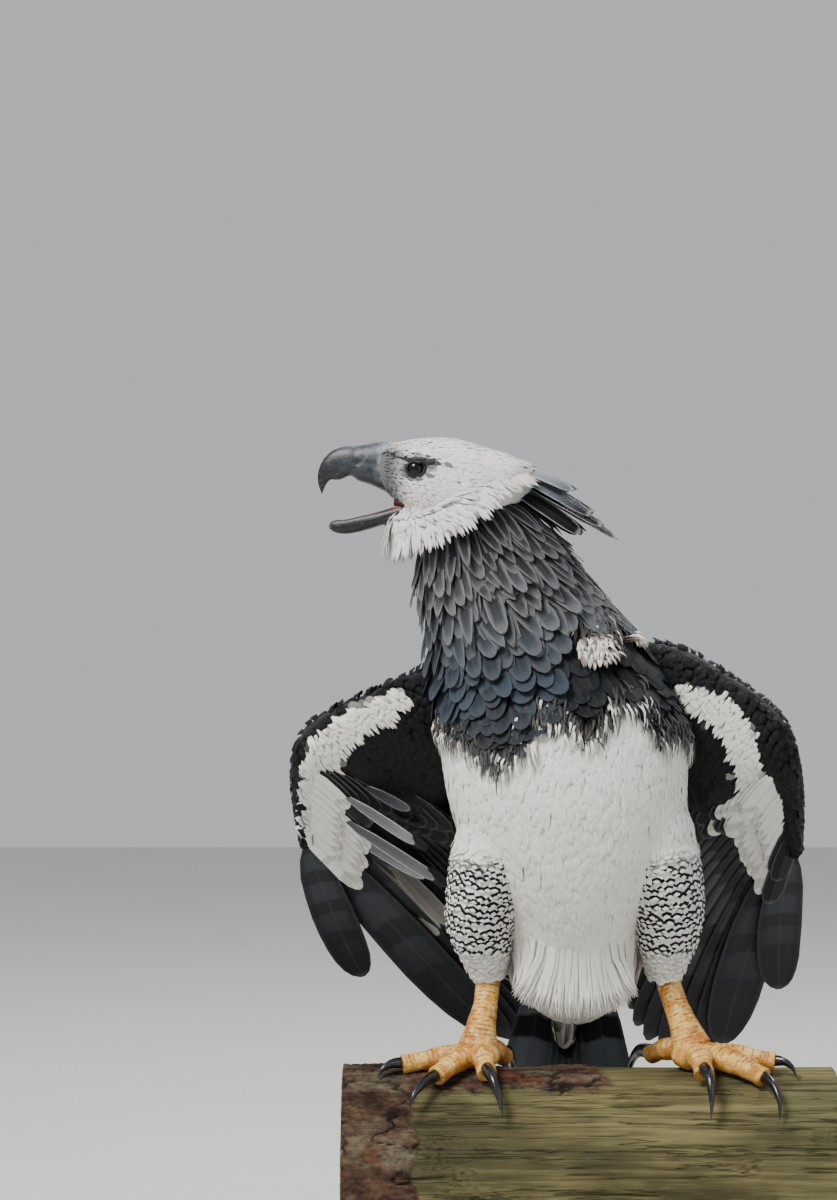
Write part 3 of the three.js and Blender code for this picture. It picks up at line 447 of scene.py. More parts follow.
def blades(section, shape, root, tip, up, tip_up, width, thick=0.5, arch=0.0, ragged=0.0, through=None):
    """Rings of feathers that bend from root to tip; up is each one's outer side at the root, and through,
    where given, is the place that each passes half-way."""
    along = unit(tip - root)
    start_up, end_up = across_from(up, along), across_from(tip_up, along)
    middle = (root + tip) / 2 + start_up * 2 * np.asarray(arch).reshape(-1, 1)
    if through is not None:
        middle = 2 * through - (root + tip) / 2
    t = shape[:, 0][None, :, None]
    r, m, e = (v[:, None, :] for v in (root, middle, tip))
    centre = (1 - t) ** 2 * r + 2 * t * (1 - t) * m + t * t * e
    ahead = unit((1 - t) * (m - r) + t * (e - m))
    lift = across_from(start_up[:, None, :] * (1 - t) + end_up[:, None, :] * t, ahead)
    side = np.cross(ahead, lift)
    half = (np.asarray(width).reshape(-1, 1) * shape[None, :, 1] / 2)[..., None, None]
    if ragged:
        half = half * (1 + ragged * rng.uniform(-1, 1, half.shape[:2] + (len(section), 1)))
    u, h = section[None, None, :, 0:1], section[None, None, :, 1:2]
    thickness = thick * (1.1 - 0.6 * t[..., None])
    return centre[:, :, None, :] + side[:, :, None, :] * half * u + lift[:, :, None, :] * thickness * h


# Materials
def srgb(code):
    values = [int(code[i:i + 2], 16) / 255 for i in (0, 2, 4)]
    return np.array([v / 12.92 if v <= 0.04045 else ((v + 0.055) / 1.055) ** 2.4 for v in values])


EVEN = (1, 1, 1)


class Shader:
    """A material with short calls for the nodes that it needs. Colours may be given as sRGB codes."""

    def __init__(self, name, **constants):
        self.material = bpy.data.materials.new(name)
        self.material.use_nodes = True
        self.tree = self.material.node_tree
        self.surface = self.tree.nodes["Principled BSDF"]
        for key, value in constants.items():
            self.set(key.replace("_", " ").title().replace("Ior", "IOR"), value)

    def set(self, name, value):
        self.put(self.surface.inputs[name], value)

    def node(self, kind, inputs=(), **settings):
        node = self.tree.nodes.new("ShaderNode" + kind)
        for key, value in settings.items():
            setattr(node, key, value)
        for key, value in dict(inputs).items():
            self.put(node.inputs[key], value)
        return node

    def put(self, socket, value):
        if isinstance(value, bpy.types.NodeSocket):
            self.tree.links.new(value, socket)
        else:
            socket.default_value = value

    def math(self, operation, *values):
        return self.node("Math", enumerate((*values, 0.0, 0.0)[:3]), operation=operation).outputs[0]

    def times(self, a, b):
        return self.math("MULTIPLY", a, b)

    def plus(self, a, b):
        return self.math("ADD", a, b)

    def times_plus(self, a, b, c):
        return self.math("MULTIPLY_ADD", a, b, c)

    def rest(self, a):
        return self.math("SUBTRACT", 1.0, a)

    def mix(self, share, a, b, mode="MIX"):
        node = self.node("Mix", {0: share}, data_type="RGBA", blend_type=mode)
        for key, value in ((6, a), (7, b)):
            if not isinstance(value, bpy.types.NodeSocket):
                value = (*(srgb(value) if isinstance(value, str) else value), 1)
            self.put(node.inputs[key], value)
        return node.outputs[2]

    def tint(self, a, b):
        return self.mix(1.0, a, b, "MULTIPLY")

    def noise(self, scale, detail=4.0, stretch=EVEN, roughness=0.55):
        inputs = {"Scale": scale, "Detail": detail, "Roughness": roughness, "Vector": self.place(stretch)}
        return self.node("TexNoise", inputs).outputs["Fac"]

    def ramp(self, value, low, high):
        inputs = {"Value": value, "From Min": low, "From Max": high}
        return self.node("MapRange", inputs, interpolation_type="SMOOTHSTEP").outputs["Result"]

    def place(self, stretch=EVEN):
        coordinates = self.node("TexCoord").outputs["Object"]
        return self.node("Mapping", {"Vector": coordinates, "Scale": stretch}).outputs[0]

    def attribute(self, name):
        return self.node("Attribute", attribute_name=name).outputs["Color"]

    def channels(self, name):
        return self.node("SeparateColor", {0: self.attribute(name)}).outputs

    def finish(self, colour, height=None, strength=0.0, distance=0.0):
        """Sets the colour and, where given, the relief that the light shows over it."""
        self.set("Base Color", colour)
        if height is not None:
            bump = self.node("Bump", {"Height": height, "Strength": strength, "Distance": distance})
            self.set("Normal", bump.outputs[0])
        return self.material


def two_tone(name, low, high, grain, relief, ramp=(0.3, 0.7), rough=None, **constants):
    """A material of two colours mixed by one noise, whose arguments are grain. relief is the bump's strength and
    distance, and rough, where given, is how the noise makes the roughness."""
    s = Shader(name, **constants)
    value = s.noise(*grain)
    colour = s.mix(s.ramp(value, *ramp), low, high)
    if rough:
        s.set("Roughness", s.times_plus(value, *rough))
    return s.finish(colour, value, *relief)


BLACK = srgb("0d0e11")
RIM = srgb("d9dade")
SHAFT = (0.07, 0.07, 0.075)


def feather_material(name, roughness=0.5, sheen=0.02, barbs=46.0, gloss=0.2, edge_from=0.84, wobble=0.14,
                     slope=-0.10, cycles=6.5):
    """Vanes with barbs and a shaft. The marks give each its pale rim, dark tip band and dark bars."""
    s = Shader(name, roughness=roughness, sheen_weight=sheen, sheen_roughness=0.45, specular_ior_level=gloss)
    across, along, _ = s.node("SeparateXYZ", {0: s.node("UVMap", uv_map="Vane").outputs[0]}).outputs
    off = s.math("ABSOLUTE", s.times_plus(across, 2.0, -1.0))
    grain, wander = s.noise(260.0, 3.0), s.noise(70.0, 2.0)
    slant = s.times_plus(wander, 0.05, s.times_plus(off, -0.22, along))
    ridge = s.math("SINE", s.times(slant, barbs * 2 * math.pi))
    shade = s.times_plus(ridge, 0.07, s.times_plus(grain, 0.34, 0.80))
    rim, tip, bars = s.channels("Mark")
    frayed = s.times_plus(grain, 0.16, off)
    edge = s.math("MAXIMUM", s.ramp(frayed, edge_from, 1.04), s.ramp(along, 0.5 + edge_from / 2, 0.995))
    bent = s.times_plus(wander, wobble, s.times_plus(off, slope, along))
    band = s.times(s.ramp(bent, 0.77, 0.81), s.rest(s.ramp(bent, 0.90, 0.95)))
    bar = s.ramp(s.math("SINE", s.times(bent, 2 * math.pi * cycles)), 0.05, 0.5)
    bar = s.times(bar, s.rest(s.ramp(along, 0.9, 0.96)))
    colour = s.mix(s.times(bar, bars), s.attribute("Col"), BLACK)
    colour = s.mix(s.times(band, tip), colour, BLACK)
    colour = s.mix(s.times(edge, rim), colour, RIM)
    colour = s.mix(s.times(s.rest(s.ramp(off, 0.015, 0.07)), 0.3), colour, SHAFT)
    colour = s.tint(colour, s.node("CombineColor", {0: shade, 1: shade, 2: shade}).outputs[0])
    return s.finish(colour, s.plus(ridge, s.times(grain, 1.6)), 0.35, 0.0004)


def down_material():
    s = Shader("down", roughness=0.9, sheen_weight=0.1, sheen_roughness=0.6)
    fluff = s.noise(420.0, 5.0, (1, 1, 0.35))
    shade = s.mix(s.ramp(fluff, 0.3, 0.75), (0.75, 0.75, 0.75), (1, 1, 1))
    return s.finish(s.tint(s.attribute("Col"), shade), fluff, 0.8, 0.002)


SOFT = feather_material("soft_feathers", 0.85, 0.15, 30.0, 0.15)
NECK_VANES = feather_material("neck_vanes", 0.62, barbs=40.0, edge_from=0.45)
SLEEK = feather_material("sleek_feathers")
FLIGHT = feather_material("flight_feathers", barbs=90.0, gloss=0.16, edge_from=0.88, wobble=0.03, slope=-0.02,
                          cycles=4.5)
DOWN = down_material()

# Plumage colours
WHITE = srgb("f2efe8")
OFF_WHITE = srgb("e0ddd8")
FACE = srgb("d4d5d7")
GREY = srgb("878b91")
MID_GREY = srgb("5f656d")
SLATE = srgb("0f1319")
BLUE_SCALE = srgb("2b3743")
INK = srgb("08090c")
BROWN = srgb("6e5a4c")
# The breast's edge between dark and white, and the white spots of the shoulder: middle and radii in x and z
BAND_X = [-157, -127, -102, -76, -60, -42, -10, 10, 36, 58, 79, 120]
BAND_Z = [391, 372, 358, 342, 364, 384, 384, 370, 400, 412, 364, 372]
SHOULDER_SPOTS = [((15, 464), (19, 15)), ((57, 475), (9, 6))]


# Looks: the colours, tip colours and marks of feathers at places, and for some how white each place is
def both(tones, colour, tip_colour, share, tip_part=1):
    """Colours and tip colours moved towards others. The tips take tip_part of the share."""
    return tinted(tones[0], colour, share), tinted(tones[1], tip_colour, share * tip_part)


def marked(rim, tip=0):
    return np.stack(np.broadcast_arrays(rim, tip, 0), -1)


def trunk_look(p, spots=SHOULDER_SPOTS):
    """The body's and the neck's look."""
    x, y, z = p.T
    wander = noise(p, 22, 3) * 9 + noise(p, 7, 4) * 5
    belly = smooth(-4, 4, np.interp(x, BAND_X, BAND_Z) - z + wander) * (1 - smooth(36, 60, y + wander))
    vent = smooth(150, 110, z) * smooth(120, 96, y)
    white = np.maximum(belly, vent)
    high = smooth(455, 560, z + wander)
    front = smooth(45, -25, y)
    middle = smooth(385, 470, z + wander) * front
    # Painted shadow under the ruff: the neck just below the hood is darkened
    hood_shadow = smooth(572, 592, z + (x + 120) * 0.35) * smooth(-190, -150, x)
    u, v = picture(p).T
    shoulder = smooth(526, 552, u + 2 * wander) * smooth(588, 612, v + wander) * smooth(60, 20, y)
    back = smooth(40, 90, y) * (1 - high)
    ink = many(INK, len(p))
    tones = both((ink, tinted(ink, SLATE, 0.6 * front)), SLATE, BLUE_SCALE, middle)
    tones = both(tones, MID_GREY * 0.10, GREY * 0.24, high)
    tones = both(tones, INK, INK, shoulder, 0.85)
    tones = both(tones, INK, SLATE, back)
    # Darkens the neck under the ruff as painted shadow
    tones = both(tones, INK, SLATE, 0.8 * hood_shadow, 0.75)
    shade = (1 + 0.25 * noise(p, 30, 9))[:, None]
    tones = both([tone * shade for tone in tones], WHITE, WHITE, white)
    for (spot_x, spot_z), (wide, tall) in spots:
        inside = ((x - spot_x) / wide) ** 2 + ((z - spot_z) / tall) ** 2 + 0.25 * noise(p, 8, 6)
        spot = smooth(1.15, 0.85, inside) * (y < -12)
        fluff = tinted(WHITE, BROWN, 0.8 * smooth(0.55, 1.0, inside))
        tones, white = both(tones, fluff, fluff, spot), np.maximum(white, spot)
    rim = (1 - white) * blend(0.03 + 0.09 * back, 0.16, high) * (1 - shoulder)
    return *tones, marked(rim), white


def dark_look(p):
    return trunk_look(p, ())


def head_look(p):
    x, y, z = p.T
    wander = noise(p, 16, 5)
    crown = smooth(668, 690, z + 4 * wander)
    lores = smooth(-184, -208, x + 5 * wander) * smooth(690, 672, z)
    # A dark line runs back over the eye, and a dark ring lies round it. Both are partly the dark feathers and skin
    # there and partly painted shade under the brow ridge and in the eye's hollow
    along = np.clip((x + 207) / 46, 0, 1.6)
    gap = np.abs(z - (674.5 - 10.5 * along) + wander)
    brow_line_and_shade = smooth(1.0, -1.5, gap - (1.2 + 4.2 * along * smooth(1.25, 0.9, along)))
    orbit = smooth(15.5, 12, np.hypot((x + 178) * 0.82, (z - 657.5) * 1.12) + wander)
    dark = np.maximum(brow_line_and_shade * (x < -138), 0.9 * orbit) * (np.abs(y - HEAD_Y) > 14)
    col = tinted(tinted(WHITE, FACE, 0.45 + 0.4 * crown), GREY * 0.32, 0.92 * lores)
    col = tinted(col, GREY, 0.7 * smooth(-92, -62, x + 5 * wander))
    col = tinted(col, INK, 0.9 * dark)
    plain_share = (1 - dark) * (1 - lores)
    tip = tinted(col * 1.05, OFF_WHITE, 0.3 * plain_share)
    return col * (1 + 0.07 * noise(p, 9, 8))[:, None], tip, marked(0.5 * plain_share)


def thigh_look(p):
    z = p[:, 2]
    barred = smooth(272, 240, z + 10 * noise(p, 12, 14)) * smooth(128, 150, z)
    speckled = smooth(100, 120, z) * smooth(150, 128, z) * 0.35
    white = many(WHITE, len(p))
    return white, white, marked(0, np.maximum(barred, speckled))


# The wings' undersides: white bands as they run in the picture, and paler patches inside them
WING_BANDS = {
    "right": [[[395, 695, 8], [375, 705, 12], [350, 716, 13], [328, 733, 14], [313, 755, 15], [314, 785, 17],
               [320, 815, 19], [328, 845, 19], [345, 872, 18], [370, 892, 12], [388, 905, 6]]],
    "left": [[[687, 683, 5], [705, 693, 11], [728, 706, 15], [745, 728, 15], [753, 755, 14], [759, 790, 10],
              [763, 820, 10], [764, 850, 11], [763, 880, 15], [757, 903, 9]],
             [[733, 800, 6], [742, 825, 8], [745, 850, 6], [745, 868, 3]]],
}
WING_PALE = {
    "right": [[[420, 915, 10], [435, 930, 10]]],
    "left": [[[735, 880, 8], [728, 925, 9], [715, 950, 8]]],
}


def banded(p, bands, wander=0):
    return np.maximum.reduce([ribbon(p, rows) for rows in bands]) + wander


def wing_look(side, p, dorsal):
    """Small coverts: slate above and over the leading edge, and below black with the picture's white bands."""
    wander = 3.5 * noise(p, 9, 12) + 2.0 * noise(p, 4, 13)
    white = smooth(-1.2, 1.2, banded(p, WING_BANDS[side], wander)) * (1 - dorsal)
    pale = smooth(-3, 3, banded(p, WING_PALE[side], 2 * wander)) * (1 - dorsal)
    ink = many(INK, len(p))
    tones = both((ink, ink), SLATE, SLATE * 1.3, 0.7 * dorsal)
    tones = both(both(tones, MID_GREY, GREY, 0.8 * pale), WHITE, WHITE, white)
    return *tones, marked(0.03 * dorsal * (1 - white)), white


# The skin: one closed surface inside the solids by the coat's depth. Each row is a form, that depth, its
# rings and sides, and its look. The places in this list are the numbers in skin_owner.
SKIN_FORMS = [
    (TRUNK, 9, (60, 48), trunk_look), (SKULL, 4, (40, 32), head_look), (JAW, 3.5, (20, 24), head_look),
    *((thigh, 6, (30, 28), thigh_look) for thigh in THIGHS.values()),
    *((wing, 3.5, (50, 28), None) for wing in WING_FORMS.values()),
]
TRUNK_PARTS, HEAD_PARTS, THIGH_PARTS, WING_PARTS = (0,), (1, 2), (3, 4), (5, 6)
skin_mesh = remeshed("skin", [form.mesh(*size, -depth) for form, depth, size, _ in SKIN_FORMS] + [
    RUMP.mesh(20, 24, -3), *(brow.mesh(12, 12, -0.5) for brow in BROWS)], 4.5)
skin_points, skin_normals = mesh_arrays(skin_mesh)
skin_faces = read(skin_mesh.polygons, "vertices", 3, np.int32)
skin_tree = BVHTree.FromPolygons(skin_points.tolist(), skin_faces.tolist())


def near_skin(points):
    """Each point's nearest place on the skin, its face there and how far off it is."""
    found = [skin_tree.find_nearest(Vector(p)) for p in points]
    return (np.array([hit[k] for hit in found]) for k in (0, 2, 3))


def on_skin(points):
    """Each point's nearest place on the skin, and the normal there."""
    places, faces, _ = near_skin(points)
    return places, unit(skin_normals[skin_faces[faces]].mean(axis=1))


def skin_unwrap():
    """The bake map of the skin, face by face, in which a place's patch is found."""
    obj = placed("unwrap", skin_mesh)
    bpy.context.view_layer.objects.active = obj
    obj.select_set(True)
    skin_mesh.uv_layers.new(name="OFBake")
    bpy.ops.object.mode_set(mode="EDIT")
    bpy.ops.mesh.select_all(action="SELECT")
    bpy.ops.uv.smart_project(angle_limit=math.radians(66), island_margin=0.004)
    bpy.ops.object.mode_set(mode="OBJECT")
    bpy.data.objects.remove(obj)
    return read(skin_mesh.uv_layers["OFBake"].data, "uv", 2).reshape(-1, 3, 2)


SKIN_UV = skin_unwrap()


def skin_patch(faces):
    return SKIN_UV[faces].mean(axis=1)


def near_patch(rings):
    _, faces, _ = near_skin(rings[:, 0].mean(axis=1))
    return skin_patch(faces)


def skin_owners():
    """Which of the forms lies nearest to each place of the skin."""
    best = np.full(len(skin_points), 1e9)
    owner = np.zeros(len(skin_points), int)
    for number, (form, depth, _, _) in enumerate(SKIN_FORMS):
        points, faces = form.mesh(90, 72, -depth)
        tree = BVHTree.FromPolygons(points.tolist(), faces)
        for i, p in enumerate(skin_points):
            distance = tree.find_nearest(Vector(p), best[i])[3]
            if distance is not None and distance < best[i]:
                best[i], owner[i] = distance, number
    return owner


skin_owner = skin_owners()
skin_paint = many(INK, len(skin_points))
for number, (*_, look) in enumerate(SKIN_FORMS):
    mine = skin_owner == number
    if look and mine.any():
        skin_paint[mine] = look(skin_points[mine])[0]
paint(skin_mesh, "Col", skin_paint * 0.9)
finish_piece("skin", skin_mesh, DOWN, "body_feathers", [
    "head", "neck", "torso", "thigh_right", "thigh_left", "wing_right_arm", "wing_left_arm",
])


# Feathers in rows over a form
def sampled(form, spacing, span=(0.0, 1.0), jitter=0.35):
    """Places in staggered rows over a form, as t and angle, with rows and columns a spacing apart.
    spacing is a function of t."""
    ts, angles = [], []
    t, row = span[0], 0
    ring = np.linspace(0, 2 * np.pi, 73)
    while t < span[1]:
        loop, ahead = (form.point(np.full(73, v), ring) for v in (t, min(t + 0.01, 1)))
        gap = spacing(t)
        arc = np.concatenate([[0], np.cumsum(np.linalg.norm(np.diff(loop, axis=0), axis=1))])
        count = max(int(arc[-1] / gap), 3)
        at = (np.arange(count) + 0.5 * (row % 2) + jitter * rng.uniform(-0.5, 0.5, count)) / count * arc[-1]
        angles.append(np.interp(np.mod(at, arc[-1]), arc, ring))
        pace = max(np.linalg.norm(ahead - loop, axis=1).mean() / (min(t + 0.01, 1) - t + 1e-9), 1)
        ts.append(t + jitter * rng.uniform(-0.5, 0.5, count) * gap / pace)
        t += gap / pace
        row += 1
    return np.clip(np.concatenate(ts), *span), np.concatenate(angles)


def along_form(form, t, angle, length, way):
    """Where a feather laid down a form ends: t moved by the length in the way's direction."""
    late, early = np.clip(t + 0.01, 0, 1), np.clip(t - 0.01, 0, 1)
    pace = np.linalg.norm(form.point(late, angle) - form.point(early, angle), axis=1) / (late - early)
    end = t + way * length / np.maximum(pace, 1)
    over = np.maximum(end - 1, 0) + np.minimum(end, 0)
    edge = np.clip(t, 0.02, 0.98)
    run = unit(form.point(edge + 0.02, angle) - form.point(edge - 0.02, angle))
    tip = form.point(np.clip(end, 0, 1), angle) + run * (over * pace)[:, None]
    return tip, form.inner_normal(end, angle)


def varied(value, low, high, count):
    """A value, or one for each, times a random factor for each."""
    return np.broadcast_to(np.asarray(value, float), (count,)) * rng.uniform(low, high, count)


def taken(look, tint, keep=slice(None)):
    """A look's colours, tip colours and marks where kept, with the colours tinted."""
    col, tip_col, marks = look[:3]
    return (col * tint)[keep], (tip_col * tint)[keep], marks[keep]


def sprout(coat, form, places, look, size, shape, way, *, limit, skew=0.0, arch=1.5, ragged=0.0, vary_tint=0.12,
           clear=None):
    """Grows feathers down a form's length from its places, where the skin is near. size is their length, width
    and height at the tip. clear says which to keep by the lines along their middles."""
    t, angle = places
    start = form.point(t, angle)
    root, faces, distance = near_skin(start)
    near = distance < limit
    size = [np.broadcast_to(np.asarray(v, float), near.shape)[near] for v in size]
    t, angle, start, root, faces = (v[near] for v in (t, angle, start, root, faces))
    normal = form.inner_normal(t, angle)
    count = len(t)
    long, wide, high = (varied(v, *span, count) for v, span in zip(size, ((0.82, 1.18), (0.85, 1.12), (0.6, 1.25))))
    tip, tip_normal = along_form(form, t, angle + skew * rng.uniform(-1, 1, count), long, way)
    tint = rng.uniform(1 - vary_tint, 1 + vary_tint, (count, 1))
    rings = blades(coat.section, shape, root - normal * 1.2, tip + tip_normal * high[:, None], normal, tip_normal,
                   wide, 0.45, arch * rng.uniform(0.6, 1.4, count), ragged)
    keep = clear(rings.mean(axis=2)) if clear else slice(None)
    coat.add(rings[keep], shape, taken(look(start), tint, keep), skin_patch(faces)[keep])


# Places spread over the skin, and strands of down that follow it
NEIGHBOURS = [tuple(step - 1 for step in steps) for steps in np.ndindex(3, 3, 3)]


def spread(points, apart):
    """Which places to keep so that none is nearer than that to one before it."""
    cells, keep = {}, []
    for i, p in enumerate(points):
        x, y, z = (int(v // apart) for v in p)
        near = [q for dx, dy, dz in NEIGHBOURS for q in cells.get((x + dx, y + dy, z + dz), ())]
        if all((p[0] - q[0]) ** 2 + (p[1] - q[1]) ** 2 + (p[2] - q[2]) ** 2 > apart * apart for q in near):
            cells.setdefault((x, y, z), []).append(p)
            keep.append(i)
    return np.array(keep)


def skin_places(spacing, wanted):
    """Even places on the skin where wanted says so, with their normals and faces."""
    corners = skin_points[skin_faces]
    area = np.linalg.norm(np.cross(corners[:, 1] - corners[:, 0], corners[:, 2] - corners[:, 0]), axis=1) / 2
    area = area * wanted(corners.mean(axis=1), skin_owner[skin_faces[:, 0]])
    count = int(area.sum() / spacing ** 2 * 2)
    face = rng.choice(len(area), count, p=area / area.sum())
    share = rng.uniform(0, 1, (count, 2))
    share = np.where(share.sum(axis=1, keepdims=True) > 1, 1 - share, share)
    weights = np.concatenate([1 - share.sum(axis=1, keepdims=True), share], -1)[..., None]
    points = (corners[face] * weights).sum(axis=1)
    normals = unit((skin_normals[skin_faces[face]] * weights).sum(axis=1))
    keep = spread(points, spacing * 0.76)
    return points[keep], normals[keep], face[keep]


def strands(coat, places, look, flow, length, width, high, *, thick=0.5, loose_by=0.12, calm=1.0):
    """Strands that follow the skin from their places. high is the height half-way and at the tip, and calm
    below 1 makes them more alike."""
    points, normals, faces = places
    count = len(points)
    way = across_from(unit(flow(points)) + loose_by * rng.normal(size=(count, 3)), normals)
    high = [np.broadcast_to(np.asarray(v, float).reshape(-1, 1), (count, 1)) for v in high]
    long = varied(length, 0.8, 1.2, count)[:, None]
    swell = (1 + calm * (0.35 * noise(points, 16, 61) + rng.uniform(-0.25, 0.25, count)))[:, None]
    wide = varied(width, 0.8, 1.2, count)
    aim = points + way * long
    middle, middle_normal = on_skin(points + way * long * 0.5)
    tip, tip_normal = on_skin(aim)
    keep = (np.linalg.norm(tip - aim, axis=1) < 0.45 * long[:, 0]) & (dot(tip_normal, normals)[:, 0] > -0.2)
    through = middle + middle_normal * high[0] * swell
    tip = tip + tip_normal * high[1] * swell
    points, normals, faces, through, tip, tip_normal, wide = (
        v[keep] for v in (points, normals, faces, through, tip, tip_normal, wide))
    tint = rng.uniform(1 - 0.1 * calm, 1 + 0.05 * calm, (len(points), 1))
    rings = blades(coat.section, STRAND, points - normals, tip, normals, tip_normal, wide, thick, through=through)
    coat.add(rings, STRAND, taken(look(points), tint), skin_patch(faces))


# Body: white down below, dark feathers above its edge
def body_flow(p):
    low = smooth(230, 70, p[:, 2])
    drift = 0.22 * noise(p, 45, 62)
    return np.stack([drift + 0.001 * p[:, 0] * low, 0.12 + 0.1 * low, -1 + 0 * low], -1)


def grow_down():
    for name, lowest, highest in (("belly_down", -100, 235), ("breast_down", 235, 470)):
        coat = Coat(FINE_SECTION)

        def wanted(p, owner):
            white = np.maximum(dark_look(p)[3], dark_look(p - 14 * Z_AXIS)[3])
            here = (p[:, 2] >= lowest) & (p[:, 2] < highest) & (p[:, 0] > -165) & (p[:, 0] < 150)
            return here & (white > 0.5) & ~np.isin(owner, WING_PARTS)
        places = skin_places(4.5, wanted)
        long = np.interp(places[0][:, 2], [60, 110, 200, 400], [44, 40, 34, 30])
        strands(coat, places, lambda p: dark_look(p - 7 * Z_AXIS), body_flow, long, 8.6, (4.6, 4.4), loose_by=0.07,
                calm=0.45)
        coat.make(name, SOFT, "body_feathers")


def grow_fringe():
    """Long soft feathers that hang from the belly's end and square it off."""
    coat, count = Coat(FINE_SECTION), 130
    for layer in range(5):
        x = np.linspace(-72, 72, count) + rng.uniform(-2, 2, count)
        top = 118 + 6.6 * layer + rng.uniform(0, 46, count)
        root, normals = on_skin(np.stack([0.9 * x, -70 + 22.0 * layer + 0 * x, top], -1))
        end = 64 + 20 * (np.abs(x) / 72) ** 3 + rng.uniform(-6, 6, count)
        tip = np.stack([0.95 * x, root[:, 1] + 22 - 5 * layer, end], -1)
        seat, seat_normals = on_skin(root * (1, 1, 0.5) + Z_AXIS * (end * 0.5)[:, None] + 6 * Y_AXIS)
        out = unit(seat_normals + (0, -0.3, -0.1))
        rings = blades(coat.section, STRAND, root - normals * 2, tip, normals, out, rng.uniform(4, 7, count),
                       through=seat + seat_normals * 7.5)
        col = many(WHITE, count) * rng.uniform(0.94, 1.0, (count, 1))
        coat.add(rings, STRAND, (col, col, 0 * col), near_patch(rings))
    coat.make("belly_fringe", SOFT, "body_feathers")


def grow_scapulars(coat):
    """Long back feathers that lie over the roots of the wings."""
    for side in (-1, 1):
        for tier in range(4):
            count = 13 - tier
            fall = np.linspace(0, 1, count)
            roots = np.stack([side * (62 + 13 * tier - 26 * (1 - fall) ** 2), 84 - 26 * fall * tier / 3 - 6 * tier,
                              458 - 130 * fall + 3 * tier], -1) + rng.uniform(-3, 3, (count, 3))
            base, normals = on_skin(roots)
            tips = base + unit(np.array([side * 0.3, 0.30, -1.0])) * 56 * rng.uniform(0.9, 1.15, (count, 1))
            seat, seat_normals = on_skin(tips)
            col = many(INK, count) * rng.uniform(0.8, 1.3, (count, 1))
            rings = blades(coat.section, ROUND, base + normals * 2, seat + seat_normals * (10 + 1.5 * tier), normals,
                           seat_normals, np.full(count, 30.0), ragged=0.04,
                           through=(base + seat) / 2 + (normals + seat_normals) / 2 * 12)
            coat.add(rings, ROUND, (col, many(SLATE, count), 0 * col), near_patch(rings))


def over_dark(lines):
    """Which large feathers lie over dark places only, by the lines along their middles."""
    count, flat = len(lines), lines.reshape(-1, 3)
    white, dark_white = (look(flat)[3].reshape(count, -1) for look in (trunk_look, dark_look))
    return (white[:, 1:5].max(axis=1) < 0.5) & ((white - dark_white).max(axis=1) < 0.3)


def grow_body(coat):
    t, angle = sampled(TRUNK, lambda t: 14.0, (0.03, 0.66), 0.5)
    dark = dark_look(TRUNK.point(t, angle))[3] <= 0.5
    sprout(coat, TRUNK, (t[dark], angle[dark]), dark_look, (46, 27, 5.5), ROUND, -1, limit=16, skew=0.05, arch=0.8,
           ragged=0.04, clear=over_dark)


def grow_neck(coat):
    t, angle = sampled(TRUNK, lambda t: float(np.interp(t, [0.6, 0.75, 0.85, 0.95], [15, 13.5, 12, 10])),
                       (0.6, 0.97), 0.6)
    long, wide, high = (np.interp(t, [0.6, 0.7, 0.8, 0.95], values) for values in (
        (46, 52, 58, 52), (27, 26, 21, 15), (5, 9, 12, 9)))
    high = high * rng.choice([0.8, 1.0, 1.5], len(t))
    blunt = (t < 0.8) | (rng.uniform(0, 1, len(t)) < 0.35)
    # The nape and the neck's right outline in the picture lie smooth, and the throat's outline stands off
    start = TRUNK.point(t, angle)
    u, v = picture(start).T
    sleek = np.maximum(smooth(0, 25, start[:, 1]), smooth(515, 560, u))
    ruffled = smooth(450, 425, u) * smooth(590, 640, v) * smooth(20, -10, start[:, 1])
    high = high * (1 - 0.8 * sleek) + 6 * ruffled
    for mine, shape in ((blunt, ROUND), (~blunt, POINTED)):
        sprout(coat, TRUNK, (t[mine], angle[mine]), dark_look, (long[mine], wide[mine], high[mine]), shape, -1,
               limit=18, skew=0.15, arch=3, ragged=0.05, vary_tint=0.28, clear=over_dark)


def grow_wisps():
    """Hair-like strands over the breast's ragged edge and in the white spots of the shoulder."""
    coat = Coat(FINE_SECTION)

    def near_edge(p, owner):
        here, below = (trunk_look(p - step * Z_AXIS)[3] for step in (0, 30))
        return (here < 0.5) & (below > 0.5) & (p[:, 1] < 30) & np.isin(owner, TRUNK_PARTS)

    def in_spot(p, owner):
        return (trunk_look(p)[3] > 0.5) & (dark_look(p)[3] < 0.5) & (p[:, 1] < 20)

    def mixed(p):
        *tones, marks, _ = dark_look(p)
        above = p[:, 2] - np.interp(p[:, 0], BAND_X, BAND_Z)
        pale = smooth(0.3, 0.5, noise(p, 4, 71) + 0.4 * smooth(16, 2, above) - 0.3 * smooth(14, 22, above))
        return tinted(tones[0], WHITE, pale), tinted(tones[1], WHITE, np.maximum(pale, 0.15)), marks
    places = skin_places(3.3, near_edge)
    strands(coat, places, mixed, body_flow, rng.uniform(20, 40, len(places[0])), 3.0, (11.5, 8.0), thick=0.4,
            loose_by=0.2)
    strands(coat, skin_places(2.0, in_spot), trunk_look, body_flow, 17, 3.8, (13.0, 13.5), thick=0.35, loose_by=0.2)
    coat.make("breast_wisps", SOFT, "body_feathers")


body_coat, neck_coat = Coat(), Coat()
grow_down()
grow_fringe()
grow_scapulars(body_coat)
grow_body(body_coat)
grow_neck(neck_coat)
grow_wisps()
body_coat.make("body_plumage", SLEEK, "body_feathers")
neck_coat.make("neck_plumage", NECK_VANES, "neck_feathers")


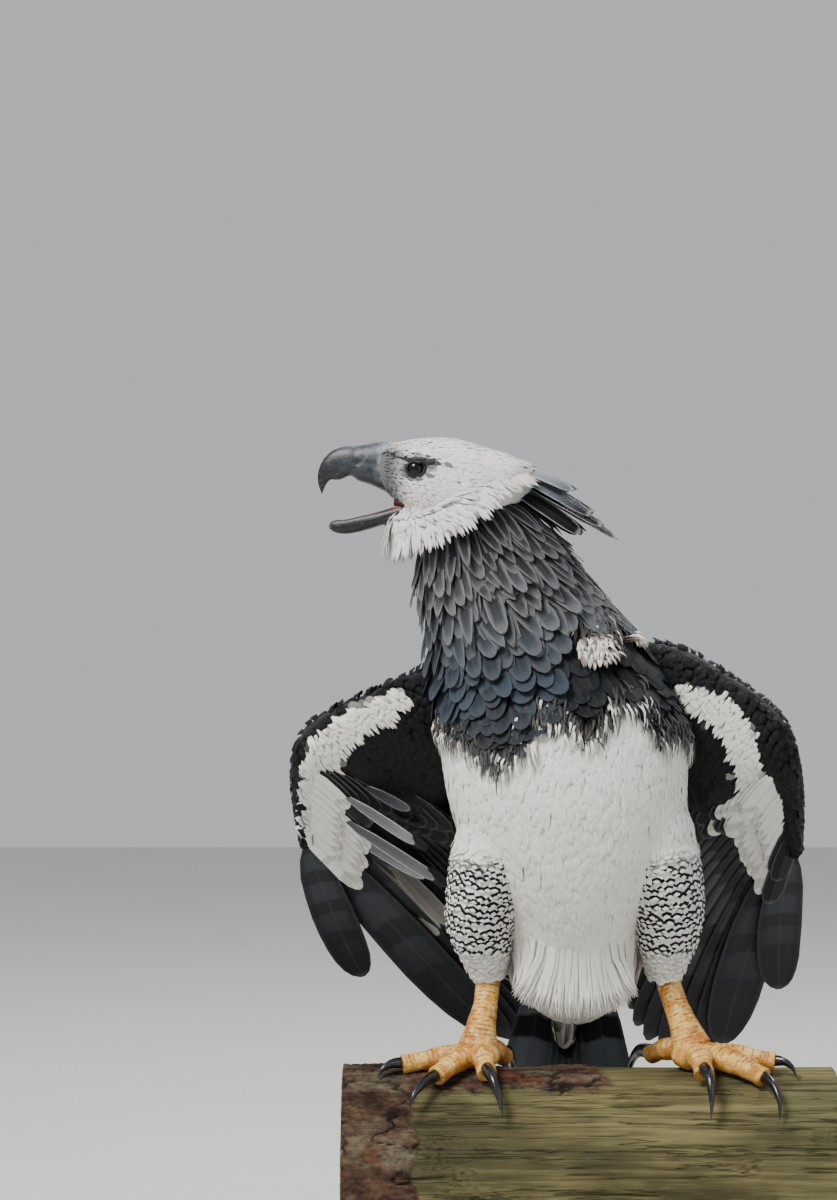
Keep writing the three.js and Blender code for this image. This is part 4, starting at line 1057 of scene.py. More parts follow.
# Head plumage: fine strands, short in front and longer behind
def head_flow(p):
    x, y, z = p.T
    low = smooth(655, 605, z)
    chin = smooth(-165, -185, x) * smooth(622, 610, z)
    behind = smooth(-120, -80, x) * smooth(640, 670, z)
    return np.stack([1 - 0.75 * chin, 0.004 * (y - HEAD_Y), -0.18 - 0.75 * low - 0.6 * chin - 0.55 * behind], -1)


def grow_head(coat, front):
    def wanted(p, owner):
        eye = np.hypot(p[:, 0] - EYE_X, (p[:, 2] - EYE_Z) * 1.1) <= 12.0
        hidden = eye & (np.abs(p[:, 1] - HEAD_Y) >= 20)
        return np.isin(owner, HEAD_PARTS) & ~hidden & (p[:, 0] > -211) & ((p[:, 0] < -140) == front)
    places = skin_places(2.7 if front else 3.4, wanted)
    x = places[0][:, 0]
    long = np.interp(x, [-210, -190, -140, -100, -70], [7, 10, 18, 24, 15])
    wide = np.interp(x, [-210, -190, -140, -60], [2.4, 3.6, 5.2, 7.0])
    high = np.interp(x, [-210, -190, -140, -60], [1.3, 2.0, 3.0, 3.8])
    strands(coat, places, head_look, head_flow, long, wide, (high, high * 0.8), thick=0.35, loose_by=0.09, calm=0.6)


def loose(coat, shape, feathers, *, thick, arch=2.0):
    """Single feathers from a list of root, tip, outer side, width, colour, tip colour and marks."""
    root, tip, up, width, *look = (np.array(v, float) for v in zip(*feathers))
    rings = blades(coat.section, shape, root, tip, up, up, width, thick, arch)
    _, faces, _ = near_skin(root)
    coat.add(rings, shape, look, skin_patch(faces))


# Ruff: long narrow pale feathers that end the face over the neck. Each row is the root's x, z and distance
# from the head's middle, and the tip's.
RUFF_ROWS = [
    [-74, 660, 30, -42, 641, 36], [-92, 652, 42, -62, 630, 52], [-110, 640, 49, -84, 614, 66],
    [-128, 624, 50, -106, 594, 74], [-146, 610, 46, -132, 578, 72], [-162, 602, 38, -156, 568, 62],
    [-178, 599, 30, -180, 562, 46], [-190, 598, 21, -200, 556, 34],
]


def grow_ruff(coat):
    for layer, count in enumerate((64, 56, 46, 38)):
        for side in (-1, 1):
            share = np.linspace(0, 1, count)
            rows = rows_at(RUFF_ROWS, share + 0.02 * rng.uniform(-1, 1, count))
            feathers = []
            for (rx, rz, rh, tx, tz, th), step in zip(rows, 14 * layer * np.clip(share / 0.45, 0.1, 1)):
                root = (rx - 1.96 * layer, HEAD_Y + side * (rh - 3), rz + 2.52 * layer)
                tip = (tx, HEAD_Y + side * (th - 5 * layer), tz + step) + rng.uniform(-3, 3, 3)
                width, shade = rng.uniform(3.5, 6.5), rng.uniform(0.85, 1.0)
                feathers.append((root, tip, (-0.2, side, 0.25), width, WHITE * shade, OFF_WHITE * shade, (0.6, 0, 0)))
            loose(coat, STRAND, feathers, thick=0.35)


def grow_beard(coat):
    """Fine pale feathers that hang below the lower bill."""
    feathers = []
    for _ in range(170):
        y, x = HEAD_Y + rng.uniform(-22, 22), rng.uniform(-206, -176)
        root = (x, y, 600 + rng.uniform(-3, 3))
        tip = (x - rng.uniform(-2, 10), y * 1.1, 600 - rng.uniform(30, 47))
        feathers.append((root, tip, (-1, 0.01 * (y - HEAD_Y), 0), rng.uniform(2, 4), WHITE, OFF_WHITE, (0.4, 0, 0)))
    loose(coat, STRAND, feathers, thick=0.3)


# Crest: the tiers of the solids, each long feather with its own shaft and pale edge. Each row is the count,
# the root's and the tip's x and z, how far apart they are there, the width, how much shorter the outer ones
# are, and the colours.
CREST_TIERS = [
    (7, (-64, 664), (2, 636), (5.5, 8.5), 13, 2.0, GREY, MID_GREY),
    (5, (-64, 656), (22, 612), (7, 11), 16, 3.0, MID_GREY, SLATE),
    (4, (-64, 650), (34, 598), (8, 13), 16, 3.0, SLATE, INK),
    (2, (-66, 645), (45, 585), (22, 40), 15, 0, SLATE, INK),
    (6, (-68, 640), (12, 590), (7, 9), 20, 3.0, INK, INK),
]


def grow_crest(coat):
    up = unit(np.array([0.45, 0, 0.9]))
    for count, root, tip, apart, width, fall, col, tip_col in CREST_TIERS:
        feathers = []
        for off in np.arange(count) - (count - 1) / 2:
            layer = -up * 1.3 * (2 * abs(off) - (off > 0)) * 4 / count
            start = np.array([root[0], HEAD_Y + off * apart[0], root[1]]) + layer
            end = np.array([tip[0] - fall * abs(off), HEAD_Y + off * apart[1], tip[1]]) + layer
            turn = 1.1 * off / max(count / 2, 1)
            feathers.append((start, end + rng.uniform(-2, 2, 3), up * math.cos(turn) + Y_AXIS * math.sin(turn),
                             width, col, tip_col, (0.35, 0, 0)))
        loose(coat, LONG, feathers, thick=0.4, arch=3)


head_coat, face_coat, crest_coat = Coat(FINE_SECTION), Coat(FINE_SECTION), Coat()
grow_head(face_coat, True)
grow_head(head_coat, False)
grow_ruff(head_coat)
grow_beard(head_coat)
grow_crest(crest_coat)
head_coat.make("head_plumage", SOFT, "head_feathers")
face_coat.make("face_plumage", SOFT, "head_feathers")
crest_coat.make("crest", SLEEK, "head_feathers")


# Thigh plumage: barred tufts, with plain down above and below them
def thigh_flow(p):
    x = p[:, 0]
    return np.stack([0.004 * (np.sign(x) * 100 - x), 0.12 + 0 * x, -1 + 0 * x], -1)


def plain_thigh(p):
    col, tip, marks = thigh_look(p)
    return col, tip, 0 * marks


def grow_thighs():
    tufts, down = Coat(SMALL_SECTION), Coat(FINE_SECTION)
    for form in THIGHS.values():
        t, angle = sampled(form, lambda t: 7.6, (0.1, 0.9), 0.16)
        size = np.interp(t, [0, 1], [25, 20]), 15, np.interp(t, [0.1, 0.3], [1.6, 3.4])
        sprout(tufts, form, (t, angle), thigh_look, size, ROUND, 1, limit=14, skew=0.04, arch=0.5, vary_tint=0.05)
    places = skin_places(4.2, lambda p, owner: np.isin(owner, THIGH_PARTS) & ((p[:, 2] < 128) | (p[:, 2] > 240)))
    long = np.interp(places[0][:, 2], [80, 110, 240], [16, 24, 30])
    strands(down, places, plain_thigh, thigh_flow, long, 4.6, (4.0, 2.5))
    tufts.make("thigh_plumage", SOFT, "thigh_feathers")
    down.make("thigh_down", SOFT, "thigh_feathers")


grow_thighs()


# Wings. All flight feathers and coverts of a wing lie in layers over its bent sheet, as in the solids.
class Sheet:
    def __init__(self, origin, along, back, bend):
        self.base, self.along, self.bend = np.array(origin, float), unit(np.array(along, float)), bend
        self.up = across_from(np.array(back, float), self.along)
        self.aside = np.cross(self.up, self.along)

    def plan(self, points):
        rest = np.asarray(points, float) - self.base
        return np.stack([rest @ self.along, rest @ self.aside], -1)

    def at(self, plan, height):
        u, v = plan[..., 0] / 300, plan[..., 1] / 100
        rise = height + sum(c * term for c, term in zip(self.bend, (1, u, v, u * u, u * v, v * v)))
        return self.base + plan[..., 0:1] * self.along + plan[..., 1:2] * self.aside + rise[..., None] * self.up

    def seek(self, spot, height):
        """The plan of the place that shows at a point of the picture."""
        grid = np.stack(np.meshgrid(np.linspace(-120, 420, 160), np.linspace(-260, 260, 160), indexing="ij"), -1)
        shown = picture(self.at(grid, np.full(grid.shape[:2], height)).reshape(-1, 3))
        return grid.reshape(-1, 2)[np.linalg.norm(shown - spot, axis=1).argmin()]

    def blades(self, shape, root, tip, width, height, *, thick=0.7, sweep=0.0, camber=0.0, ragged=0.0, face=1):
        """Rings of feathers lying on the sheet, from the plans of their roots and tips and their heights there."""
        run = tip - root
        aside = np.stack([-run[:, 1], run[:, 0]], -1) / np.linalg.norm(run, axis=-1, keepdims=True)
        t = shape[:, 0][None, :, None]
        half = (np.asarray(width, float).reshape(-1, 1) * shape[None, :, 1] / 2)[..., None]
        half = half * (1 + ragged * rng.uniform(-1, 1, half.shape[:2] + (len(LARGE_SECTION),)))
        u, h = LARGE_SECTION[None, None, :, 0] * face, LARGE_SECTION[None, None, :, 1] * face
        offset = sweep * 4 * t * (1 - t) + half * u
        root, run, aside = (v[:, None, None, :] for v in (root, run, aside))
        level = blend(height[:, 0][:, None, None], height[:, 1][:, None, None], t) - camber * u * u * half / 20
        return self.at(root + run * t[..., None] + aside * offset[..., None], level + h * thick / 2 * (1.15 - 0.7 * t))


# Flight feathers are numbered from the outermost one, each a layer over the next
FLIGHTS = 21
PRIMARIES = 10
WRIST = 5 / 8
LAYER = 1.8
MIDDLE_LAYER = 10
# How much of its length in the solids the outermost flight feather keeps
OUTER_LENGTH = {"right": 0.86, "left": 0.93}
# Where under-coverts further out in the picture stay dark
BAND_END = {"right": 315, "left": 774}
CELLS = 8
# Covert tiers: the flight feathers spanned, the count, how far back the roots start, the length, the
# height over the flight feathers at root and tip, the width, the side, and colours above with marks.
# The under side takes its colours from the picture's bands.
UPPER, UNDER = 1, -1
COVERT_TIERS = [
    ((1.2, 8.8), 11, 20, 140, (10, 13), 27, UPPER, (0.06, 0, 0.3)),
    ((10.6, 19.6), 13, 14, 140, (10, 13), 30, UPPER, (0.06, 0, 0.3)),
    ((1.6, 8.6), 9, 22, 84, (14, 18), 24, UPPER, (0.10, 0, 0)),
    ((11, 19.4), 11, 26, 92, (15, 20), 28, UPPER, (0.10, 0, 0)),
    ((1.2, 8.8), 10, 14, 112, (7, 10), 25, UNDER, None),
    ((10.2, 19.2), 11, 10, 104, (11, 14), 29, UNDER, None),
    ((1.2, 9.0), 9, 20, 62, (11, 14), 22, UNDER, None),
    ((10.4, 19.2), 10, 16, 62, (15, 18), 26, UNDER, None),
]
# Single long coverts that show below the right wing: root and tip in the picture, width, colours and rim
SHOWN_COVERTS = [
    ((372, 862), (436, 936), 30, "6f6a64", "b5b1aa", 0.3), ((392, 866), (450, 926), 26, "5c5854", "8d8983", 0.2),
    ((366, 790), (408, 812), 20, "24272b", "4a4e53", 0.3), ((346, 836), (424, 880), 17, "6f7276", "a4a6a8", 0.95),
    ((346, 824), (438, 883), 19, "5f6266", "8d9094", 0.95), ((422, 868), (447, 889), 17, "08090c", "08090c", 0),
    ((348, 800), (419, 846), 19, "6f7276", "a9abad", 0.95), ((406, 834), (426, 850), 15, "08090c", "08090c", 0),
]


def cell_patch(count):
    """Bake cells of a grid, one for each large feather."""
    number = np.arange(count)
    return (np.stack([number % CELLS, number // CELLS], -1) + 0.5) / CELLS, (0.9 / CELLS, 0.9 / CELLS)


def grow_flight(side, sheet):
    """Makes the flight feathers, and gives the plans of their roots and tips."""
    wing, order = WINGS[side], np.arange(FLIGHTS)
    stations = np.concatenate([np.linspace(0.985, WRIST + 0.015, PRIMARIES),
                               np.linspace(WRIST - 0.02, 0.19, FLIGHTS - PRIMARIES)])
    inset = np.where(order < PRIMARIES, 0.24, 0.16)[:, None]
    row = rows_at(wing["rows"], stations)
    roots, tips = sheet.plan(blend(row[:, 3:6], row[:, :3], inset)), sheet.plan(wing["tips"])
    tips[0] = roots[0] + (tips[0] * 0.93 + tips[1] * 0.07 - roots[0]) * OUTER_LENGTH[side]
    level = (order - MIDDLE_LAYER) * LAYER - np.where(order == 0, 4, 0)
    width = np.where(order < PRIMARIES, 46, 48) + np.select([order == 0, order == 1], [4, 16], 0)
    rings = sheet.blades(QUILL, roots, tips, width, np.stack([level, level], -1), thick=0.9, sweep=6, camber=1.0,
                         ragged=0.015)
    slate, ink, black = (many(colour, FLIGHTS) for colour in (SLATE, INK, BLACK))
    under = tinted(GREY * 0.6, MID_GREY * 0.35, smooth(6, 1, order))
    flight = Coat()
    flight.add(rings, QUILL, (slate, ink, many((0.03, 0, 0.6), FLIGHTS)), *cell_patch(FLIGHTS), (under, black))
    flight.make(f"flight_feathers_{side}", FLIGHT, "wing_feathers", [f"wing_{side}_hand"])
    return roots, tips


def under_covert_look(side, shown):
    """The look of whole under-coverts, by places along their middles."""
    count = len(shown)
    inside = picture(shown[:, 1])[:, 0] - BAND_END[side]
    inside = inside <= 0 if side == "left" else inside >= 0
    white, pale = (banded(shown, bands[side]).max(axis=1) > 2 for bands in (WING_BANDS, WING_PALE))
    pale = 1.0 * (pale & ~white & inside & (side == "left"))
    white = 1.0 * (white & inside)
    ink = many(INK, count)
    marks = tinted(tinted(many((0.1, 0, 0), count), (0.9, 1, 0.4), pale), (0, 0.3, 0), white)
    return *both(both((ink, ink), MID_GREY, OFF_WHITE, pale), WHITE, WHITE, white), marks


def grow_coverts(side, sheet, coat, roots, tips):
    order = np.arange(FLIGHTS)
    for span, count, back, long, rise, wide, way, mark in COVERT_TIERS:
        place = np.linspace(*span, count) + rng.uniform(-0.12, 0.12, count)
        start, finish = (np.stack([np.interp(place, order, ends[:, k]) for k in (0, 1)], -1) for ends in (roots, tips))
        along = unit(finish - start)
        length = long * rng.uniform(0.92, 1.06, (count, 1))
        heights = ((place - MIDDLE_LAYER) * LAYER)[:, None] + way * np.array(rise)
        rings = sheet.blades(COVERT, start - along * back, start + along * length,
                             wide * rng.uniform(0.92, 1.08, count), heights, camber=way * 1.4, ragged=0.03, face=way)
        shade = rng.uniform(0.85, 1.1, (count, 1))
        look = many(INK, count) * shade, many(SLATE, count) * shade, many(mark or (0, 0, 0), count)
        if way == UNDER:
            look = under_covert_look(side, rings[:, 2:6].mean(axis=2))
        coat.add(rings, COVERT, look, near_patch(rings))
    for number, (start, finish, wide, base, end, rim) in enumerate(SHOWN_COVERTS if side == "right" else ()):
        height = -14.0 - 1.2 * number
        plan = np.array([sheet.seek(spot, height) for spot in (start, finish)])
        rings = sheet.blades(COVERT, plan[:1], plan[1:], wide, np.array([[height + 3, height]]), camber=-1.4,
                             ragged=0.02, face=UNDER)
        coat.add(rings, COVERT, (many(srgb(base), 1), many(srgb(end), 1), many((rim, 0, 0), 1)), near_patch(rings))


CRAWL_STEPS = 6


def crawl(form, t, angle, flow, long):
    """Follows a form's surface the way of flow for a length. Gives t and angle half-way and at the end."""
    for step in range(CRAWL_STEPS):
        if step * 2 == CRAWL_STEPS:
            half = t, angle
        early, late = np.clip(t - 0.01, 0, 1), np.clip(t + 0.01, 0, 1)
        down = (form.point(late, angle) - form.point(early, angle)) / (late - early)[:, None]
        around = (form.point(t, angle + 0.03) - form.point(t, angle - 0.03)) / 0.06
        way = across_from(flow, unit(np.cross(around, down)))
        a, b, c, d, e = (dot(u, v)[:, 0] for u, v in (
            (down, down), (down, around), (around, around), (way, down), (way, around)))
        fall = np.maximum(a * c - b * b, 1e-6)
        t = np.clip(t + (c * d - b * e) / fall * long / CRAWL_STEPS, 0, 1)
        angle = angle + np.clip((a * e - b * d) / fall * long / CRAWL_STEPS, -0.4, 0.4)
    return half, (t, angle)


def grow_lesser(side, sheet, coat, pale):
    """Small coverts all over the wing's core, laid over its surface towards the flight feathers' tips. The
    pale ones are strands in the white bands."""
    form = WING_FORMS[side]
    t, angle = sampled(form, lambda t: 3.7 if pale else 7.4, (0.08, 1.0), 0.6 if pale else 0.35)
    start, normal = form.point(t, angle), form.inner_normal(t, angle)
    root, faces, distance = near_skin(start)
    dorsal = smooth(-0.15, 0.15, normal @ sheet.up)
    near = (distance < 11) & ((wing_look(side, start, dorsal)[3] > 0.5) == pale)
    near &= (dorsal < 0.5) | (np.cos(angle) < -0.4) | (rng.uniform(0, 1, len(t)) < 0.55)
    t, angle, start, root, faces, normal, dorsal = (v[near] for v in (t, angle, start, root, faces, normal, dorsal))
    count = len(t)
    chord = (1 + np.cos(angle)) / 2
    bold = dorsal * smooth(0.25, 0.45, chord)
    flow = unit(sheet.along + 0.10 * rng.normal(size=(count, 3)))
    long = np.interp(chord, [0, 0.3, 1], [20, 26, 34]) * rng.uniform(0.75, 1.2, count) * (0.8 + 0.45 * bold)
    wide = (5.0 if pale else np.interp(chord, [0, 1], [8.5, 15])) * rng.uniform(0.8, 1.15, count) * (1 + 0.7 * bold)
    half, end = crawl(form, t, angle, flow, long)
    half_normal, end_normal = form.inner_normal(*half), form.inner_normal(*end)
    high = rng.uniform(0.7, 1.8, count) * (0.4 + 0.6 * smooth(0.1, 0.45, chord)) + 1.6 * pale + 3.2 * bold
    rings = blades(coat.section, STRAND if pale else ROUND, root - normal * 1.5,
                   form.point(*end) + end_normal * high[:, None], normal, end_normal, wide, 0.4, 0, 0.06,
                   form.point(*half) + half_normal * (0.4 + 1.6 * pale))
    coat.add(rings, STRAND if pale else ROUND, wing_look(side, start, dorsal), skin_patch(faces))


def grow_wing(side):
    sheet = Sheet(*WINGS[side]["sheet"])
    coverts, lesser, white = Coat(), Coat(SMALL_SECTION), Coat(FINE_SECTION)
    grow_coverts(side, sheet, coverts, *grow_flight(side, sheet))
    grow_lesser(side, sheet, lesser, False)
    grow_lesser(side, sheet, white, True)
    coverts.make(f"wing_coverts_{side}", SLEEK, "wing_feathers")
    lesser.make(f"lesser_coverts_{side}", SLEEK, "wing_feathers")
    white.make(f"white_coverts_{side}", SOFT, "wing_feathers")


for wing_side in WINGS:
    grow_wing(wing_side)

# Tail: flight feathers in flat layers, the middle pair on top, with coverts over their roots
TAIL_ROOT = np.array([0, 112.0, 122.0])
TAIL_BACK = 0.52
TAIL_ALONG = np.array([0, math.sin(TAIL_BACK), -math.cos(TAIL_BACK)])
TAIL_UP = np.array([0, math.cos(TAIL_BACK), math.sin(TAIL_BACK)])


def grow_tail():
    ends = []
    for number in range(12):
        pair, side = number // 2, 1 if number % 2 else -1
        off, seat = side * (pair + 0.5), TAIL_ROOT - TAIL_UP * 1.2 * number
        ends.append([seat + TAIL_ALONG * down + X_AXIS * off * apart
                     for down, apart in ((12, 4.4), (385 - 14 * (pair / 5) ** 2, 14))])
    roots, tips = np.array(ends).transpose(1, 0, 2)
    up = many(TAIL_UP, 12)
    rings = blades(LARGE_SECTION, QUILL, roots, tips, up, up, np.full(12, 58.0), 0.35, ragged=0.012)
    grey = many(MID_GREY, 12)
    tail, coverts = Coat(), Coat(SMALL_SECTION)
    tail.add(rings, QUILL, (grey * 0.5, grey, many((0.06, 0.3, 0.97), 12)), *cell_patch(12), (grey, many(GREY, 12)))
    tail.make("tail_feathers", FLIGHT, "tail_feathers", ["tail"])

    def look(p):
        dorsal = smooth(-16, -8, (p - TAIL_ROOT) @ TAIL_UP)
        col = tinted(many(WHITE, len(p)), INK, dorsal)
        return col, tinted(col, SLATE, dorsal * 0.8), many((0.02, 0, 0), len(p))
    t, angle = sampled(RUMP, lambda t: 10.0)
    sprout(coverts, RUMP, (t, angle), look, (np.interp(t, [0, 1], [50, 95]), 24, 4), ROUND, 1, limit=16, arch=2)
    coverts.make("tail_coverts", SLEEK, "tail_feathers")


grow_tail()

# Bill. Each row is the upper edge's x and z, the lower edge's x and z, and the half-width.
UPPER_BILL = [
    [-203, 689, -205, 632, 18], [-213, 688.5, -213, 636, 16.8], [-224, 686.5, -224, 641, 15.4],
    [-237.5, 684, -238, 645.6, 13.2], [-247, 684, -246, 650.2, 12], [-254.5, 683.2, -253, 648, 10.8],
    [-262, 681, -258, 646.2, 9.6], [-269.5, 676.5, -263.5, 646, 8.2], [-276, 669.5, -268, 646, 6.6],
    [-280.6, 661, -271, 643.5, 5], [-282.8, 650.5, -273.3, 640, 3.6], [-281.6, 640, -275, 636, 2],
    [-278, 630, -277, 631, 0.5],
]
LOWER_BILL = [
    [-190, 621, -190, 600, 16], [-200, 618, -200, 599, 14.6], [-210, 614.5, -211, 597, 13.4],
    [-225, 611, -225, 592.6, 11.4], [-238, 608.4, -239, 589, 9.4], [-250, 606, -250, 587.4, 7.6],
    [-260, 603.6, -260, 588, 5.6], [-267, 600.8, -266, 590.4, 3.6], [-270.3, 597, -270, 593.6, 1],
]


def painted_piece(name, points, colour, *finish):
    """A closed tube from a grid of rings, painted."""
    flat, faces = tube(points)
    mesh = mesh_from(name, flat, faces)
    paint(mesh, "Col", colour(flat))
    finish_piece(name, mesh, *finish)


def horn_material():
    s = Shader("bill_horn", roughness=0.36, specular_ior_level=0.45, coat_weight=0.15, coat_roughness=0.3)
    broad, fine = s.noise(130.0, 6.0, (1, 1, 1.6), 0.62), s.noise(900.0, 3.0, (1, 1, 3))
    horn = s.tint(s.attribute("Col"), s.mix(s.ramp(broad, 0.36, 0.62), (0.42, 0.43, 0.46), (1.25, 1.25, 1.25)))
    scuff = s.times(s.ramp(s.noise(260.0, 6.0, (0.7, 1, 1.4), 0.7), 0.58, 0.72), 0.35)
    horn = s.mix(scuff, horn, "9a9ea1")
    pit = s.ramp(s.noise(420.0), 0.30, 0.42)
    s.set("Roughness", s.times_plus(broad, 0.35, 0.22))
    return s.finish(s.mix(pit, s.mix(0.6, horn, "0a0b0d"), horn), s.plus(fine, s.times(broad, 2.0)), 0.3, 0.0008)


def upper_colour(p):
    x, z = p[:, 0], p[:, 2]
    cere = smooth(-243, -236, x + 1.5 * noise(p, 6, 2))
    horn = tinted(srgb("2b3037"), srgb("0d0f12"), smooth(-252, -283, x + 2 * noise(p, 8, 3)))
    # Painted shade: the horn darkens towards its lower edge
    horn = tinted(horn, srgb("14171a"), smooth(662, 645, z + 3 * noise(p, 7, 4)))
    # The cere darkens towards its lower edge as painted shade
    col = tinted(horn, tinted(srgb("343a41"), srgb("191c20"), smooth(668, 642, z)), cere)
    base = smooth(-222, -208, x + 5 * noise(p, 5, 5)) * smooth(640, 655, z)
    # The bill's base is paler, and a painted highlight lightens the top of the bill along the culmen
    col = tinted(tinted(col, srgb("8a8e92"), 0.8 * base), srgb("7d848b"), smooth(676, 684, z) * 0.2)
    # Painted shade: the inside of the nostril slit is darkened
    return tinted(col, BLACK * 0.4, nostril(p, 4.4, 1.8))


def lower_colour(p):
    col = tinted(many(srgb("0e1013"), len(p)), srgb("6d6f6e"), smooth(-266, -270, p[:, 0]) * 0.4)
    brim = np.interp(-p[:, 0], [200, 225, 250, 267], [618, 611, 606, 600.8])
    inside = smooth(3.4, 1.4, brim - p[:, 2]) * smooth(-262, -248, p[:, 0])
    return tinted(col, srgb("a8655e"), inside * 0.8)


def nostril(p, long, tall):
    """How far places lie inside the slanting slit in the cere, whose half-sizes are given."""
    x, z = p[..., 0] + 237, p[..., 2] - 665.5
    along, above = x * 0.93 + z * 0.36, z * 0.93 - x * 0.36
    return np.exp(-((along / long) ** 2) ** 1.5 - (above / tall) ** 2)


def grow_bill():
    horn = horn_material()
    form, (t, angle) = Form(UPPER_BILL, profile_axes, 0.86), ring_grid(70, 44)
    points = form.point(t, angle)
    slit = nostril(points, 4.6, 1.9) * (np.abs(points[..., 1] - HEAD_Y) > 5)
    step = smooth(-238, -242, points[..., 0]) * 0.5
    rough = 0.12 * noise(points, 3.0, 7)
    points = points - form.normal(t, angle) * (slit * 3.4 + step - rough)[..., None]
    painted_piece("upper_bill", points, upper_colour, horn, "bill", ["bill_upper"])
    t, angle = ring_grid(50, 32)
    points = Form(LOWER_BILL, profile_axes, 0.86).point(t, angle)
    trough = smooth(9, 0, np.abs(points[..., 1] - HEAD_Y)) * (np.sin(angle) > 0.2)
    points[..., 2] -= 3.5 * trough * smooth(-268, -245, points[..., 0])
    painted_piece("lower_bill", points, lower_colour, horn, "bill", ["bill_lower"])


grow_bill()

# The web of the mouth between the jaws, its flesh colour darkened by painted shade inside the mouth
GAPE = Form(on_midline([[-176, 617, 22, 9], [-190, 621, 18.5, 6.5], [-199, 622, 13, 3.5]]), limb_axes(Y_AXIS))
flesh = two_tone("mouth_flesh", "1d0b0b", "3d1e1c", (300.0,), (0.4, 0.0008), roughness=0.38, subsurface_weight=0.15,
                 specular_ior_level=0.5)
finish_piece("mouth_web", mesh_from("mouth_web", *GAPE.mesh(16, 28)), flesh, "bill")

# Eyes with their lids
EYE_OUT, EYE_RADIUS = 37.5, 9.5
LID_RADIUS, LID_THICK = 9.0, 1.4


def eye_material():
    s = Shader("eye_surface", roughness=0.1, coat_weight=0.3, coat_roughness=0.02, specular_ior_level=0.2)
    fibres = s.noise(1500.0, 3.0, (1, 0.2, 1))
    return s.finish(s.tint(s.attribute("Col"), s.mix(s.ramp(fibres, 0.3, 0.7), (0.7, 0.7, 0.7), (1.3, 1.25, 1.2))))


def grow_eye(name, side, surface, skin):
    polar, turn = ring_grid(36, 40, 0.02, np.pi - 0.02)
    out = np.array([np.sin(polar) * np.cos(turn), side * np.cos(polar), np.sin(polar) * np.sin(turn)])
    ball = np.array([EYE_X, HEAD_Y + side * EYE_OUT, EYE_Z]) + EYE_RADIUS * np.moveaxis(out, 0, -1)

    def colour(p):
        from_middle = np.degrees(np.arccos(np.clip((side * (p[:, 1] - HEAD_Y) - EYE_OUT) / EYE_RADIUS, -1, 1)))
        iris = tinted(srgb("120b07"), srgb("090504"), smooth(26, 48, from_middle))
        col = tinted(many((0.002, 0.002, 0.002), len(p)), iris, smooth(19, 22, from_middle))
        return tinted(col, srgb("0c0a09"), smooth(46, 54, from_middle))
    painted_piece(f"eyeball_{name}", ball, colour, surface, "eye", [f"eye_{name}"])
    # The lid is a ring round the eye, heavier over it
    rings, sides = 48, 14
    index = np.arange(rings * sides).reshape(rings, sides)
    beside, ahead = np.roll(index, -1, 1), np.roll(index, -1, 0)
    quads = np.stack([index, beside, np.roll(beside, -1, 0), ahead], -1).reshape(-1, 4)[:, ::side]
    around, section = (2 * np.pi * k / n for k, n in zip(np.indices((rings, sides)), (rings, sides)))
    radius = LID_RADIUS + LID_THICK * np.cos(section)
    hood = 1 + 0.16 * np.clip(np.sin(around), 0, 1)
    lid = np.stack([
        EYE_X + radius * np.cos(around) * 1.12,
        HEAD_Y + side * (EYE_OUT + 5.0 + LID_THICK * np.sin(section) * hood + 0.10 * radius * np.cos(around)),
        EYE_Z + radius * np.sin(around) * 0.86,
    ], -1)
    mesh = mesh_from(f"eyelids_{name}", lid.reshape(-1, 3), quads.tolist())
    finish_piece(f"eyelids_{name}", mesh, skin, "head_feathers")


eye_surface = eye_material()
lid_skin = two_tone("lid_skin", "0c0c0e", "1d1f22", (700.0,), (0.5, 0.0006), roughness=0.55, specular_ior_level=0.4)
grow_eye("left", 1, eye_surface, lid_skin)
grow_eye("right", -1, eye_surface, lid_skin)

# Legs and claws. A shank's row is y, z and two radii, and its x is the leg's own. A toe has the rows of its
# middle, then those of its claw.
SHANK = [[30, 118, 14, 15], [24, 92, 13.6, 14.6], [14, 68, 13.6, 13.8], [4, 45, 16.5, 16.5], [-2, 24, 22.5, 19]]
LEGS = {
    "right": {
        "shank": (-94, -95, -98, -103, -106),
        "pad": (-106, -6, 15),
        "toes": {
            "inner": ([[-106, -6, 18], [-102, -36, 17], [-98, -58, 2]],
                      [[-98, -60, 8], [-93, -84, 3], [-86, -97, -16], [-82, -99, -36]]),
            "middle": ([[-108, -6, 18], [-130, -32, 13], [-153, -58, 0]],
                       [[-152, -57, 2], [-166, -78, -3], [-177, -92, -14], [-182, -98, -27]]),
            "outer": ([[-108, -4, 18], [-148, -20, 14], [-190, -28, 8]],
                      [[-188, -28, 10], [-201, -34, 10], [-211, -40, 5], [-216, -44, -4]]),
            "hind": ([[-104, -2, 18], [-88, 26, 15], [-76, 48, 4]],
                     [[-77, 46, 8], [-70, 74, 4], [-64, 96, -18], [-62, 102, -46]]),
        },
    },
    "left": {
        "shank": (101, 105, 112, 121, 128),
        "pad": (129, -6, 15),
        "toes": {
            "inner": ([[129, -6, 18], [134, -36, 17], [137, -58, 2]],
                      [[137, -60, 8], [140, -84, 3], [141, -97, -16], [140, -99, -38]]),
            "middle": ([[131, -6, 18], [168, -30, 12], [202, -56, -2]],
                       [[200, -55, 0], [209, -74, -6], [214, -88, -20], [214, -95, -40]]),
            "outer": ([[131, -4, 18], [176, -18, 15], [217, -26, 10]],
                      [[214, -26, 12], [226, -32, 12], [235, -38, 6], [238, -42, -3]]),
            "hind": ([[127, -2, 18], [104, 22, 17], [86, 42, 7]],
                     [[88, 40, 11], [76, 66, 8], [68, 90, -12], [65, 98, -40]]),
        },
    },
}
CLAW_SIZES = {"inner": 8, "middle": 6.8, "outer": 6, "hind": 8.5}
PAD_RADII = (24, 22.5, 17)
TOE_AXES = limb_axes((1, -0.2, 0))


